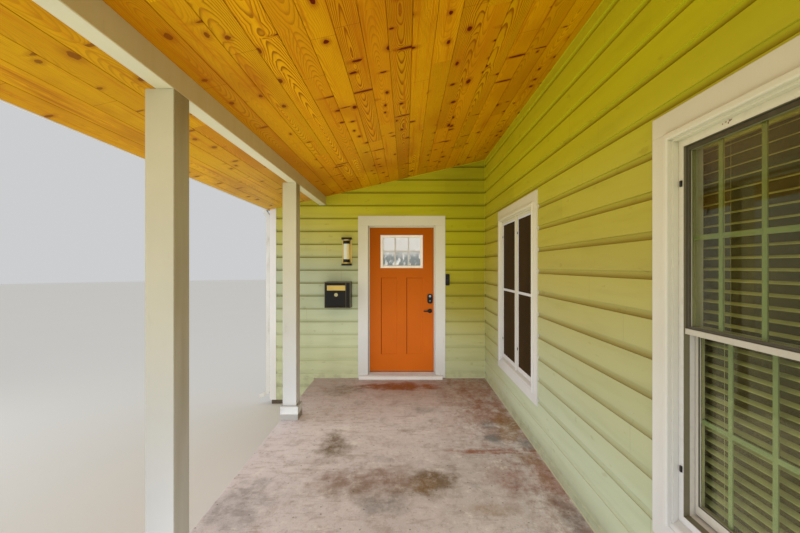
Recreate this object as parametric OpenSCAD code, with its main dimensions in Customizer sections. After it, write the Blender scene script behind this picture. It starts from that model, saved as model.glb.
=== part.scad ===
// Entrance porch between a house wall and the front wall of a wing.
// X runs across the porch towards the house wall, Y along it towards the wing
// wall with the entrance door, and Z up from the ground. The origin is at the
// centre of the slab's underside.

/* [Slab] */
// Width of the porch slab, from its open edge to the house wall
slab_w = 2385; // [2200:5:2500]
// Length of the porch slab, from its open end to the wing wall
slab_l = 5970; // [5900:5:6100]
// Height of the slab's top above the ground
slab_h = 360; // [340:5:400]

/* [Posts and beam] */
// Side of a square post
post_w = 140; // [120:5:150]
// Distance between post centres
post_pitch = 2190; // [2150:5:2210]
// Distance from the wing wall's sheathing to the last post's centre
post_inset = 1494; // [1400:1:1500]
// Side of the boxed trim at a post's foot
base_w = 180; // [170:2:200]
// Height of the boxed trim at a post's foot
base_h = 142; // [120:2:200]
// Width of the beam on the posts
beam_w = 90; // [80:2:120]
// Height of the beam's underside above the slab
beam_under = 2398; // [2350:1:2420]

/* [Roof] */
// Slope of the ceiling and roof in degrees
pitch = 13.06; // [12.5:0.02:13.5]
// Height of the ceiling above the slab where it meets the house siding
ceiling_top = 3030; // [3000:5:3080]
// Distance from the house siding to the outer edge of the soffit
ceiling_run = 3000; // [2950:5:3020]
// Width of a ceiling board's face
board_w = 130; // [90:1:140]
// Thickness of the ceiling boards
board_t = 19; // [15:1:22]
// Depth of a rafter, square to the slope
rafter_d = 140; // [120:1:150]
// Width of a rafter
rafter_w = 38; // [35:1:45]
// How far the roof runs out past the slab at its open end
rake_over = 300; // [250:10:350]
// Height of roof that each course of shingles shows
shingle_run = 140; // [120:5:160]

/* [Walls] */
// Thickness of a wall from its sheathing to its inner face
wall_t = 114; // [100:1:140]
// Thickness of the siding
siding_t = 20; // [16:1:22]
// Height of one siding course
course_h = 178.8; // [150:0.1:190]
// Height of the lowest edge of the siding above the ground
siding_bottom = 61; // [50:1:70]
// Height of the foundation's top above the ground
stem_h = 300; // [260:5:310]
// Width of a corner board
corner_w = 89; // [80:1:100]
// How far the wing wall runs out past the slab's open edge
wing_out = 600; // [560:1:640]

/* [Entrance door] */
// Width of the door leaf
leaf_w = 914; // [860:1:920]
// Height of the door leaf
leaf_h = 2032; // [1980:1:2040]
// Thickness of the door leaf
leaf_t = 44; // [40:1:46]
// Distance of the door's centre line to the right of the slab's centre line
door_x = 17; // [-50:1:60]
// Height of the sill board above the slab
nose_h = 45; // [38:1:50]
// Height of the threshold's top above the slab
sill_h = 66; // [60:1:80]
// Width of the boards of the door casing
door_casing_w = 137; // [100:1:140]

/* [Windows] */
// Width of the flat boards of a window casing
casing_w = 89; // [80:1:100]
// Width of the rounded moulding inside the flat boards
mould_w = 40; // [34:1:46]
// Height of a window casing's lower edge above the slab
casing_low = 383; // [350:1:420]
// Height of a window casing's upper edge above the slab
casing_high = 2190; // [2150:1:2220]
// Outer width of the twin window's casing
twin_w = 1440; // [1400:5:1500]
// Outer width of the wide window's casing
wide_w = 1182; // [1000:1:1250]
// Distance from the slab's centre to the twin window's centre line
twin_y = 1408; // [1350:1:1430]
// Distance from the slab's centre to the wide window's centre line
wide_y = -1504; // [-1560:1:-1450]

/* [Hidden] */

edge_x = -slab_w / 2;
house_x = slab_w / 2;
open_y = -slab_l / 2;
wing_y = slab_l / 2;
house_back = house_x + wall_t;
wing_back = wing_y + wall_t;
siding_x = house_x - siding_t;
siding_y = wing_y - siding_t;
wing_end = edge_x - wing_out;
drip = 5;
past = 1;

// Posts and beam
post_x = edge_x + base_w / 2;
post_in = post_x + post_w / 2;
last_post_y = wing_y - post_inset;
post_ys = [for (i = [0 : 2]) last_post_y - i * post_pitch];
eased = 3;

// Roof layers, measured upwards from the underside of the ceiling boards. The
// seam keeps one sloping layer from cutting into the next.
seam = 0.1;
eave_x = siding_x - ceiling_run;
roof_y0 = open_y - rake_over;
trim_t = 19;
deck_t = 12;
cover_t = 14;
shingle_t = 6;
up = 1 / cos(pitch);
board_top = board_t * up;
under_rafter = board_top + seam;
rafter_top = under_rafter + rafter_d * up;
under_deck = rafter_top + seam;
deck_top = under_deck + deck_t * up;
under_cover = deck_top + seam;
rafter_count = 11;
groove = 4;

// Entrance door
leaf_gap = 5;
jamb_t = 19;
stop_t = 12;
reveal = 6;
casing_t = 30;
leaf_x0 = door_x - leaf_w / 2;
leaf_x1 = door_x + leaf_w / 2;
door_x0 = leaf_x0 - leaf_gap;
door_x1 = leaf_x1 + leaf_gap;
casing_x0 = door_x0 - reveal - door_casing_w;
casing_x1 = door_x1 + reveal + door_casing_w;
nose_z = slab_h + nose_h;
sill_z = slab_h + sill_h;
leaf_z = sill_z + 6;
leaf_top = leaf_z + leaf_h;
head_z = leaf_top + leaf_gap;
leaf_y = wing_back - leaf_t;
nose_y = wing_y - 105;

// Windows: the clear hole inside casing and moulding, and each unit's frame
band = casing_w + mould_w;
window_z0 = slab_h + casing_low + band;
window_z1 = slab_h + casing_high - band;
frame_lap = 10;
frame_w = 28;
frame_t = 84;
mullion_w = 45;
twin_unit = (twin_w - 2 * band - mullion_w) / 2;
wide_unit = wide_w - 2 * band;
// Each unit is [centre, width] between the mouldings
twin_units = [
    [twin_y - (twin_unit + mullion_w) / 2, twin_unit],
    [twin_y + (twin_unit + mullion_w) / 2, twin_unit]
];
wide_units = [[wide_y, wide_unit]];
units = concat(twin_units, wide_units);
windows = [[twin_y, twin_w], [wide_y, wide_w]];

white = [0.91, 0.89, 0.83];
cream = [0.88, 0.85, 0.76];
siding_green = [0.62, 0.65, 0.35];
wall_core = [0.86, 0.85, 0.82];
black = [0.07, 0.07, 0.07];
steel = [0.45, 0.43, 0.4];
brass = [0.75, 0.6, 0.3];

// Height of the ceiling's underside at a distance across the porch
function under(x) = slab_h + ceiling_top - (siding_x - x) * tan(pitch);

// Points along an arc
function arc(cx, cy, r, from, to, steps) = [
    for (i = [0 : steps])
        let (a = from + (to - from) * i / steps)
            [cx + r * cos(a), cy + r * sin(a)]
];

// A box between two corners
module block(lo, hi) {
    translate(lo)
        cube(hi - lo);
}

// An outline in X and Z, run along Y
module along_y(y0, y1, points) {
    translate([0, y1, 0])
        rotate([90, 0, 0])
            linear_extrude(height = y1 - y0)
                polygon(points);
}

// An outline in Y and Z, run along X
module along_x(x0, x1, points) {
    translate([x0, 0, 0])
        rotate([90, 0, 90])
            linear_extrude(height = x1 - x0)
                polygon(points);
}

// An outline in X and Y, run up along Z
module along_z(z0, z1, points) {
    translate([0, 0, z0])
        linear_extrude(height = z1 - z0)
            polygon(points);
}

// A rod along X
module rod_x(x0, x1, y, z, r) {
    translate([x0, y, z])
        rotate([0, 90, 0])
            cylinder(h = x1 - x0, r = r, $fn = 32);
}

// A sloping layer of the roof between two heights above the ceiling line
module roof_layer(x0, x1, y0, y1, low, high) {
    along_y(y0, y1, [
        [x0, under(x0) + low],
        [x1, under(x1) + low],
        [x1, under(x1) + high],
        [x0, under(x0) + high]
    ]);
}

// A wall with a level foot and a top cut to the roof's slope
module raked_wall(x0, x1, y0, y1, foot, top) {
    along_y(y0, y1, [
        [x0, foot],
        [x1, foot],
        [x1, under(x1) + top],
        [x0, under(x0) + top]
    ]);
}

// A flat frame in Y and Z: an outer rectangle with a rectangular hole, each
// given as [low y, low z, high y, high z]
module ring_x(x0, x1, outer, inner) {
    difference() {
        block([x0, outer[0], outer[1]], [x1, outer[2], outer[3]]);
        block([x0 - past, inner[0], inner[1]], [x1 + past, inner[2], inner[3]]);
    }
}

// The rectangle that lies a margin inside another
function inset(r, m) = [r[0] + m, r[1] + m, r[2] - m, r[3] - m];

// A tapered block in a vertical face: full size at the face, and smaller by the
// slope at its depth. The way is 1 into the wing wall and -1 out of it.
module tapered_block(r, face_y, depth, slope, way) {
    run = slope / depth;
    deep = face_y + way * depth;
    skin = face_y - way * past;
    intersection() {
        along_z(r[1] - run, r[3] + run, [
            [r[0] - run, skin],
            [r[2] + run, skin],
            [r[2] - slope, deep],
            [r[0] + slope, deep]
        ]);
        along_x(r[0] - run, r[2] + run, [
            [skin, r[1] - run],
            [skin, r[3] + run],
            [deep, r[3] - slope],
            [deep, r[1] + slope]
        ]);
    }
}

// A flat outline with rounded corners
module rounded_plate(w, h, r) {
    square([w, h - 2 * r], center = true);
    square([w - 2 * r, h], center = true);
    for (sx = [-1, 1])
        for (sy = [-1, 1])
            translate([sx * (w / 2 - r), sy * (h / 2 - r)])
                circle(r = r, $fn = 48);
}

// Outline of drop siding: each board is flat, and above the sharp upper edge of
// its face a hollow cove runs up behind the next board's lower edge
cove_h = 40;
cove_d = 11;
cove_steps = 5;
course_count = 20;
function course_points(z, low, high) = [
    for (p = [
        [siding_t, z],
        for (i = [1 : cove_steps])
            [
                siding_t - cove_d * sin(90 * i / cove_steps),
                z + cove_h * (1 - cos(90 * i / cove_steps))
            ],
        [siding_t, z + cove_h]
    ])
        if (p[1] >= low && p[1] <= high) p
];
function siding_outline(low, high) = concat(
    [[0, low], [siding_t, low]],
    [
        for (k = [1 : course_count - 1])
            for (p = course_points(siding_bottom + k * course_h, low + past, high - past)) p
    ],
    [[siding_t, high], [0, high]]
);

module slab() {
    chamfer = 12;
    color([0.55, 0.5, 0.47])
        intersection() {
            along_y(open_y, wing_y, [
                [edge_x, 0],
                [house_x, 0],
                [house_x, slab_h],
                [edge_x + chamfer, slab_h],
                [edge_x, slab_h - chamfer]
            ]);
            along_x(edge_x, house_x, [
                [open_y, 0],
                [wing_y, 0],
                [wing_y, slab_h],
                [open_y + chamfer, slab_h],
                [open_y, slab_h - chamfer]
            ]);
        }
}

module foundation() {
    color([0.5, 0.47, 0.43]) {
        block([house_x, open_y, 0], [house_back, wing_y, stem_h]);
        block([wing_end, wing_y, 0], [house_back, wing_back, stem_h]);
    }
}

module house_wall() {
    color(wall_core)
        difference() {
            raked_wall(house_x, house_back, open_y, wing_y, stem_h, rafter_top);
            for (w = windows)
                block(
                    [house_x - past, w[0] - w[1] / 2 + band - frame_lap, window_z0 - frame_lap],
                    [house_back + past, w[0] + w[1] / 2 - band + frame_lap, window_z1 + frame_lap]
                );
        }
}

module wing_wall_left() {
    color(wall_core)
        raked_wall(wing_end, door_x0 - jamb_t, wing_y, wing_back, stem_h, rafter_top);
}

module wing_wall_right() {
    color(wall_core)
        raked_wall(door_x1 + jamb_t, house_back, wing_y, wing_back, stem_h, rafter_top);
}

module wing_wall_header() {
    color(wall_core)
        raked_wall(
            door_x0 - jamb_t, door_x1 + jamb_t, wing_y, wing_back,
            head_z + jamb_t, rafter_top
        );
}

module house_siding() {
    color(siding_green)
        difference() {
            translate([house_x, 0, 0])
                mirror([1, 0, 0])
                    along_y(
                        open_y + corner_w, siding_y,
                        siding_outline(slab_h + drip, under(siding_x) - seam)
                    );
            for (w = windows)
                block(
                    [siding_x - past, w[0] - w[1] / 2, slab_h + casing_low],
                    [house_x + past, w[0] + w[1] / 2, slab_h + casing_high]
                );
        }
}

module wing_siding() {
    color(siding_green)
        intersection() {
            difference() {
                translate([0, wing_y, 0])
                    mirror([0, 1, 0])
                        along_x(
                            wing_end - siding_t + corner_w, house_x,
                            siding_outline(siding_bottom, under(house_x))
                        );
                block(
                    [edge_x - drip, siding_y - past, 0],
                    [house_x + past, wing_y + past, slab_h + drip]
                );
                block(
                    [casing_x0, siding_y - past, 0],
                    [casing_x1, wing_y + past, head_z + reveal + door_casing_w]
                );
            }
            raked_wall(wing_end, house_x, siding_y - past, wing_y, 0, -seam);
        }
}

// The wing's outer corner and the house wall's open end
module corner_boards() {
    face = 25;
    color(white) {
        difference() {
            raked_wall(
                wing_end - siding_t, wing_end - siding_t + corner_w,
                wing_y - face, wing_back, siding_bottom, -seam
            );
            block([wing_end, wing_y, 0], [0, wing_back + past, 2 * ceiling_top]);
        }
        difference() {
            block(
                [house_x - face, open_y - trim_t, slab_h + drip],
                [house_back, open_y + corner_w, under(house_x - face) - seam]
            );
            block([house_x, open_y, 0], [house_back + past, 0, 2 * ceiling_top]);
        }
    }
}

// Square posts with eased edges
module posts() {
    half = post_w / 2;
    color(cream)
        for (y = post_ys)
            translate([post_x, y, 0])
                along_z(slab_h, slab_h + beam_under, [
                    [-half + eased, -half],
                    [half - eased, -half],
                    [half, -half + eased],
                    [half, half - eased],
                    [half - eased, half],
                    [-half + eased, half],
                    [-half, half - eased],
                    [-half, -half + eased]
                ]);
}

// Boxed trim with a bevelled top round each post's foot
module post_bases() {
    half = base_w / 2;
    bevel = 8;
    outline = [
        [-half, 0],
        [half, 0],
        [half, base_h - bevel],
        [half - bevel, base_h],
        [-half + bevel, base_h],
        [-half, base_h - bevel]
    ];
    color(cream)
        for (y = post_ys)
            translate([post_x, y, slab_h])
                difference() {
                    intersection() {
                        along_x(-half, half, outline);
                        along_y(-half, half, outline);
                    }
                    translate([-post_w / 2, -post_w / 2, -past])
                        cube([post_w, post_w, base_h + 2 * past]);
                }
}

// The beam's lower edges are eased, and its top is planed to the slope
module beam() {
    x0 = post_in - beam_w;
    z0 = slab_h + beam_under;
    color(cream)
        along_y(roof_y0 + trim_t, siding_y, [
            [x0 + eased, z0],
            [post_in - eased, z0],
            [post_in, z0 + eased],
            [post_in, under(post_in) + board_top],
            [x0, under(x0) + board_top],
            [x0, z0 + eased]
        ]);
}

// Tongue-and-groove boards: one outline with a narrow V at every joint
function grooved(x0, x1) = concat(
    [
        [x1, under(x1) + board_top],
        [x0, under(x0) + board_top],
        [x0, under(x0)]
    ],
    [
        for (k = [1 : floor((x1 - x0 - groove) / (board_w / up))])
            let (x = x0 + k * board_w / up)
                for (p = [[x - groove / 2, 0], [x, groove], [x + groove / 2, 0]])
                    [p[0], under(p[0]) + p[1]]
    ],
    [[x1, under(x1)]]
);

module ceiling_boards() {
    color([0.72, 0.48, 0.18]) {
        along_y(roof_y0 + trim_t, wing_y, grooved(eave_x, post_in - beam_w));
        along_y(roof_y0 + trim_t, wing_y, grooved(post_in, house_x));
    }
}

module rafters() {
    first = roof_y0 + trim_t;
    step = (wing_y - rafter_w - first) / (rafter_count - 1);
    color([0.76, 0.62, 0.42])
        for (i = [0 : rafter_count - 1])
            roof_layer(
                eave_x, house_x, first + i * step, first + i * step + rafter_w,
                under_rafter, rafter_top
            );
}

module roof_deck() {
    color([0.7, 0.56, 0.38])
        roof_layer(eave_x - trim_t, house_back, roof_y0, wing_back, under_deck, deck_top);
}

// Courses of shingles: each is thick at its lower edge and thins upwards to
// where the next one covers it
function shingled(x0, x1) = concat(
    [[x1, under(x1) + under_cover], [x0, under(x0) + under_cover]],
    [
        for (x = [x0 : shingle_run / up : x1 - 1])
            let (next = min(x + shingle_run / up, x1))
                for (p = [[x, 0], [next, shingle_t]])
                    [p[0], under(p[0]) + under_cover + (cover_t - p[1]) * up]
    ]
);

module roof_covering() {
    lip = 12;
    color([0.3, 0.29, 0.28])
        along_y(roof_y0 - lip, wing_back, shingled(eave_x - trim_t - lip, house_back));
}

// The board along the eave and the raking board across the open end
module fascia() {
    show = 4;
    color(white) {
        along_y(roof_y0, wing_back, [
            [eave_x - trim_t, under(eave_x) - show],
            [eave_x, under(eave_x) - show],
            [eave_x, under(eave_x) + rafter_top],
            [eave_x - trim_t, under(eave_x - trim_t) + rafter_top]
        ]);
        roof_layer(eave_x, house_back, roof_y0, roof_y0 + trim_t, -show, rafter_top);
    }
}

// Gutter outline: flat back and bottom, and a curved front up to its lip
gutter_t = 3;
gutter_h = 112;
gutter_floor = 78;
gutter_out = 122;
gutter_top = under(eave_x) + rafter_top - 12;
gutter_back = eave_x - trim_t;
module gutter_shape(grow) {
    rim = grow > 0 ? past : 0;
    translate([gutter_back, gutter_top])
        polygon(concat(
            [[-grow, rim], [-grow, -gutter_h + grow], [-gutter_floor + grow, -gutter_h + grow]],
            [
                for (a = [10 : 15 : 85])
                    [
                        -gutter_floor + grow - 34 * sin(a),
                        -gutter_h + grow + 42 * (1 - cos(a))
                    ]
            ],
            [[-gutter_out + grow, -40], [-gutter_out + grow, rim]]
        ));
}

module gutter() {
    color(white)
        difference() {
            translate([0, wing_back, 0])
                rotate([90, 0, 0])
                    linear_extrude(height = wing_back - roof_y0)
                        gutter_shape(0);
            translate([0, wing_back - gutter_t, 0])
                rotate([90, 0, 0])
                    linear_extrude(height = wing_back - roof_y0 - 2 * gutter_t)
                        gutter_shape(gutter_t);
        }
}

// Downspout: outlet under the gutter, an offset back to the wall, the straight
// pipe beside the corner board with two straps, and a curved shoe
pipe_w = 51;
pipe_d = 76;
pipe_x = wing_end - siding_t - 5 - pipe_w / 2;
pipe_y = wing_y + 28;
module downspout() {
    outlet_x = gutter_back - 42;
    outlet_z = gutter_top - gutter_h;
    half = pipe_w / 2;
    shoe_z = 190;
    bend = 25;
    bend_x = pipe_x - half - bend;
    turn = 65;
    throw = 100;
    // A point on the shoe, past the end of its bend
    function tip(r) = [
        bend_x + r * cos(turn) - throw * sin(turn),
        shoe_z - r * sin(turn) - throw * cos(turn)
    ];
    strap_t = 1.5;
    strap_h = 28;
    color(white) {
        along_y(pipe_y - pipe_d / 2, pipe_y + pipe_d / 2, concat(
            [
                [outlet_x + half, outlet_z],
                [outlet_x - half, outlet_z],
                [outlet_x - half, outlet_z - 68],
                [pipe_x - half, outlet_z - 138]
            ],
            arc(bend_x, shoe_z, bend, 0, -turn, 4),
            [tip(bend), tip(bend + pipe_w)],
            arc(bend_x, shoe_z, bend + pipe_w, -turn, 0, 6),
            [
                [pipe_x + half, outlet_z - 120],
                [outlet_x + half, outlet_z - 50]
            ]
        ));
        for (z = [700, 2250])
            block(
                [pipe_x - half - strap_t, pipe_y - pipe_d / 2 - strap_t, z],
                [pipe_x + half + 5, pipe_y + pipe_d / 2 + strap_t, z + strap_h]
            );
    }
}

// Head and legs, with a fine joint where the legs meet the head
module door_casing() {
    x0 = door_x0 - reveal;
    x1 = door_x1 + reveal;
    z1 = head_z + reveal;
    face_y = wing_y - casing_t;
    joint = 1;
    color(cream)
        difference() {
            block([casing_x0, face_y, slab_h + drip], [casing_x1, wing_y, z1 + door_casing_w]);
            block([x0, face_y - past, 0], [x1, wing_y + past, z1]);
            block(
                [casing_x0 - past, face_y - past, z1],
                [casing_x1 + past, face_y + joint, z1 + joint]
            );
        }
}

// Jambs and head with the stop that the leaf closes against
module door_frame() {
    stop_y = leaf_y - leaf_gap - stop_t;
    color(cream)
        difference() {
            block([door_x0 - jamb_t, wing_y, nose_z], [door_x1 + jamb_t, wing_back, head_z + jamb_t]);
            block([door_x0, leaf_y - leaf_gap, 0], [door_x1, wing_back + past, head_z]);
            block(
                [door_x0 + stop_t, stop_y - past, 0],
                [door_x1 - stop_t, leaf_y, head_z - stop_t]
            );
            block([door_x0, wing_y - past, 0], [door_x1, stop_y, head_z]);
            block([door_x0, wing_y - past, 0], [door_x1, wing_back + past, sill_z]);
        }
}

// White sill board: a nosing on the slab in front of the casing, and the part
// that runs back between the legs and through the wall
module door_sill() {
    face_y = wing_y - casing_t;
    color(white) {
        along_x(casing_x0 + 16, casing_x1 - 44, [
            [nose_y, slab_h],
            [face_y, slab_h],
            [face_y, nose_z],
            [nose_y + eased, nose_z],
            [nose_y, nose_z - eased]
        ]);
        block([door_x0 - reveal, face_y, slab_h], [door_x1 + reveal, wing_y, nose_z]);
        block([door_x0 - jamb_t, wing_y, stem_h], [door_x1 + jamb_t, wing_back, nose_z]);
    }
}

// Ribbed aluminium tread that rises to the leaf's foot
module door_threshold() {
    front_y = nose_y + 34;
    flat_y = leaf_y - 14;
    edge_t = 4;
    rib_count = 5;
    rise = (sill_z - nose_z - edge_t) / (flat_y - front_y);
    color([0.72, 0.72, 0.7])
        difference() {
            along_x(door_x0, door_x1, [
                [front_y, nose_z],
                [wing_back, nose_z],
                [wing_back, sill_z],
                [flat_y, sill_z],
                [front_y, nose_z + edge_t]
            ]);
            for (i = [1 : rib_count])
                let (y = front_y + i * (flat_y - front_y) / (rib_count + 1))
                    block(
                        [door_x0 - past, y - 1.5, nose_z + edge_t + rise * (y - front_y) - 1.5],
                        [door_x1 + past, y + 1.5, sill_z + past]
                    );
        }
}

// Places on the leaf
light_half = 270;
light_x0 = door_x - light_half;
light_x1 = door_x + light_half;
light_z0 = slab_h + 1556;
light_z1 = slab_h + 1964;
light_lip = 30;
light_rim = 8;
lever_x = leaf_x1 - 60;
lever_z = slab_h + 923;
bolt_z = slab_h + 1095;
rose_r = 31;
bore_r = 27;
panel_z0 = slab_h + 313;
panel_z1 = slab_h + 1390;

// Leaf with two sunk panels on each face, the light's hole and two bores
module door_leaf() {
    stile = 166;
    middle = 136;
    panel = (leaf_w - 2 * stile - middle) / 2;
    depth = 9;
    slope = 7;
    color([0.76, 0.33, 0.1])
        difference() {
            block([leaf_x0, leaf_y, leaf_z], [leaf_x1, wing_back, leaf_top]);
            block([light_x0, leaf_y - past, light_z0], [light_x1, wing_back + past, light_z1]);
            for (face = [[leaf_y, 1], [wing_back, -1]])
                for (x = [leaf_x0 + stile, leaf_x1 - stile - panel])
                    tapered_block([x, panel_z0, x + panel, panel_z1], face[0], depth, slope, face[1]);
            for (z = [lever_z, bolt_z])
                translate([lever_x, leaf_y - past, z])
                    rotate([-90, 0, 0])
                        cylinder(h = leaf_t + 2 * past, r = bore_r, $fn = 48);
        }
}

// Bevelled rims on both faces of the leaf, joined through its hole
module door_light_frame() {
    lip_t = 12;
    outer = [light_x0 - light_lip, light_z0 - light_lip, light_x1 + light_lip, light_z1 + light_lip];
    clear = [light_x0 + light_rim, light_z0 + light_rim, light_x1 - light_rim, light_z1 - light_rim];
    splay = 10;
    color(cream)
        difference() {
            union() {
                for (face = [[leaf_y, -1], [wing_back, 1]])
                    intersection() {
                        tapered_block(outer, face[0], lip_t, 6, face[1]);
                        block(
                            [outer[0], min(face[0], face[0] + face[1] * lip_t), outer[1]],
                            [outer[2], max(face[0], face[0] + face[1] * lip_t), outer[3]]
                        );
                    }
                block([light_x0, leaf_y, light_z0], [light_x1, wing_back, light_z1]);
            }
            block(
                [clear[0], leaf_y - lip_t - past, clear[1]],
                [clear[2], wing_back + lip_t + past, clear[3]]
            );
            for (face = [[leaf_y - lip_t, 1], [wing_back + lip_t, -1]])
                tapered_block(inset(clear, -splay), face[0], splay, splay, face[1]);
        }
}

module door_light_glass() {
    color([0.8, 0.88, 0.88, 0.4])
        block(
            [light_x0 + light_rim, leaf_y + 16, light_z0 + light_rim],
            [light_x1 - light_rim, leaf_y + 28, light_z1 - light_rim]
        );
}

hinge_x = leaf_x0 - leaf_gap / 2;
hinge_y = wing_back + 7;
hinge_r = 6.5;
pin_r = 3;
knuckle_h = 33;
hinge_zs = [leaf_z + 230, leaf_z + leaf_h / 2, leaf_top - 230];
plate_t = 2;
play = 0.5;

// Outer knuckles, pin and jamb plate of each hinge
module hinge_barrels() {
    color(steel)
        for (z = hinge_zs) {
            translate([hinge_x, hinge_y, z - 1.5 * knuckle_h])
                cylinder(h = 3 * knuckle_h, r = pin_r, $fn = 24);
            for (side = [-1, 1])
                translate([0, 0, z + side * (knuckle_h + play)]) {
                    translate([hinge_x, hinge_y, -knuckle_h / 2])
                        cylinder(h = knuckle_h, r = hinge_r, $fn = 32);
                    block(
                        [door_x0, leaf_y + 6, -knuckle_h / 2],
                        [door_x0 + plate_t, hinge_y, knuckle_h / 2]
                    );
                }
        }
}

// Middle knuckle and leaf plate of each hinge, bored for the pin
module hinge_leaves() {
    color(steel)
        for (z = hinge_zs)
            difference() {
                union() {
                    translate([hinge_x, hinge_y, z - knuckle_h / 2])
                        cylinder(h = knuckle_h, r = hinge_r, $fn = 32);
                    block(
                        [leaf_x0 - plate_t, leaf_y + 6, z - knuckle_h / 2],
                        [leaf_x0, hinge_y, z + knuckle_h / 2]
                    );
                }
                translate([hinge_x, hinge_y, z - knuckle_h])
                    cylinder(h = 2 * knuckle_h, r = pin_r + 0.05, $fn = 24);
            }
}

// Outside: a long plate with a key disc below. Inside: a plate and thumb turn.
module deadbolt() {
    plate_w = 74;
    plate_h = 135;
    corner = 30;
    thick = 14;
    disc_r = 22;
    disc_t = 6;
    disc_z = bolt_z - 30;
    color(black) {
        for (y = [leaf_y - thick, wing_back])
            translate([lever_x, y, bolt_z])
                rotate([-90, 0, 0])
                    linear_extrude(height = thick)
                        rounded_plate(plate_w, plate_h, corner);
        translate([lever_x, leaf_y - thick - disc_t, disc_z])
            rotate([-90, 0, 0])
                cylinder(h = disc_t, r = disc_r, $fn = 48);
        translate([lever_x, wing_back + thick, disc_z])
            rotate([-90, 0, 0])
                linear_extrude(height = 16)
                    rounded_plate(42, 16, 7);
    }
}

// Round rose with a bevelled edge on each face
module lever_roses() {
    rose_t = 9;
    bevel = 3;
    neck = 10;
    profile = [[neck, 0], [rose_r, 0], [rose_r, rose_t - bevel], [rose_r - bevel, rose_t], [neck, rose_t]];
    color(black)
        for (face = [[leaf_y, 90], [wing_back, -90]])
            translate([lever_x, face[0], lever_z])
                rotate([face[1], 0, 0])
                    rotate_extrude($fn = 64)
                        polygon(profile);
}

// Outer and inner lever on one spindle. Each bar tapers, is rounded at both
// ends, and bends back towards the leaf at its tip.
module lever_handle() {
    reach = 52;
    neck_r = 9;
    hub_r = 12;
    tip_r = 8;
    bar = 92;
    bar_t = 13;
    bow = 7;
    front = concat(
        arc(0, 0, hub_r, -90, 90, 8),
        arc(-bar + tip_r, 0, tip_r, 90, 270, 8)
    );
    plan = [
        [hub_r, 0],
        [-20, 0],
        [-bar, bow],
        [-bar, bow + bar_t - 2],
        [-20, bar_t],
        [hub_r, bar_t]
    ];
    color(black)
        translate([lever_x, 0, lever_z]) {
            translate([0, leaf_y - reach + 2, 0])
                rotate([-90, 0, 0])
                    cylinder(h = leaf_t + 2 * reach - 4, r = neck_r, $fn = 32);
            for (face = [[leaf_y - reach, 0], [wing_back + reach, 1]])
                translate([0, face[0], 0])
                    mirror([0, face[1], 0])
                        intersection() {
                            along_y(0, bow + bar_t, front);
                            along_z(-hub_r, hub_r, plan);
                        }
        }
}

// Rounded moulding inside the casing boards. Each point of its outline is
// [distance in from the moulding's outer edge, height above the sheathing].
bead_h = 44;
bead_r = 8;
bead_back = 10;
step_h = 22;
mould_outline = concat(
    [[0, 0]],
    arc(bead_r, bead_h - bead_r, bead_r, 180, 90, 4),
    arc(mould_w - bead_back - bead_r, bead_h - bead_r, bead_r, 90, 0, 4),
    [[mould_w - bead_back, step_h], [mould_w, step_h], [mould_w, 0]]
);

// The moulding down both sides and across the head of a rectangle in Y and Z,
// mitred at its two upper corners
module mitred_moulding(r) {
    w = mould_w;
    front = house_x - 60;
    for (side = [0, 1])
        intersection() {
            along_z(r[1], r[3], [
                for (p = mould_outline)
                    [house_x - p[1], side == 1 ? r[2] - p[0] : r[0] + p[0]]
            ]);
            along_x(front, house_x + past, side == 1
                ? [[r[2], r[1]], [r[2], r[3]], [r[2] - w, r[3] - w], [r[2] - w, r[1]]]
                : [[r[0], r[1]], [r[0] + w, r[1]], [r[0] + w, r[3] - w], [r[0], r[3]]]
            );
        }
    intersection() {
        along_y(r[0], r[2], [for (p = mould_outline) [house_x - p[1], r[3] - p[0]]]);
        along_x(front, house_x + past, [
            [r[0], r[3]],
            [r[0] + w, r[3] - w],
            [r[2] - w, r[3] - w],
            [r[2], r[3]]
        ]);
    }
}

// Four flat boards, the mitred moulding, a sloped sill with a rounded nose above
// the lower board, and the twin window's mullion with the board that covers it
module window_casings() {
    low = slab_h + casing_low;
    high = slab_h + casing_high;
    x0 = house_x - casing_t;
    foot = low + casing_w;
    nose_set = 2;
    joint = 1;
    mullion_t = 12;
    mullion_foot = 12;
    color(cream)
        for (w = windows) {
            y0 = w[0] - w[1] / 2;
            y1 = w[0] + w[1] / 2;
            difference() {
                ring_x(
                    x0, house_x,
                    [y0, low, y1, high],
                    [y0 + casing_w, foot, y1 - casing_w, high - casing_w]
                );
                block(
                    [x0 - past, y0 - past, high - casing_w],
                    [x0 + joint, y1 + past, high - casing_w + joint]
                );
            }
            mitred_moulding([y0 + casing_w, foot, y1 - casing_w, high - casing_w]);
            along_y(y0 + casing_w - past, y1 - casing_w + past, [
                [house_x, foot - past],
                [x0 + nose_set, foot - past],
                [x0 + nose_set, foot + 10],
                [x0 + nose_set + 2, foot + 18],
                [x0 + nose_set + 7, foot + 24],
                [house_x, low + band]
            ]);
        }
    color(cream) {
        block(
            [house_x - mullion_t, twin_y - mullion_w / 2, window_z0 - mullion_foot],
            [house_x, twin_y + mullion_w / 2, window_z1]
        );
        block(
            [house_x, twin_y - mullion_w / 2 + frame_lap, window_z0 - frame_lap],
            [house_x + frame_t, twin_y + mullion_w / 2 - frame_lap, window_z1 + frame_lap]
        );
    }
}

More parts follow.
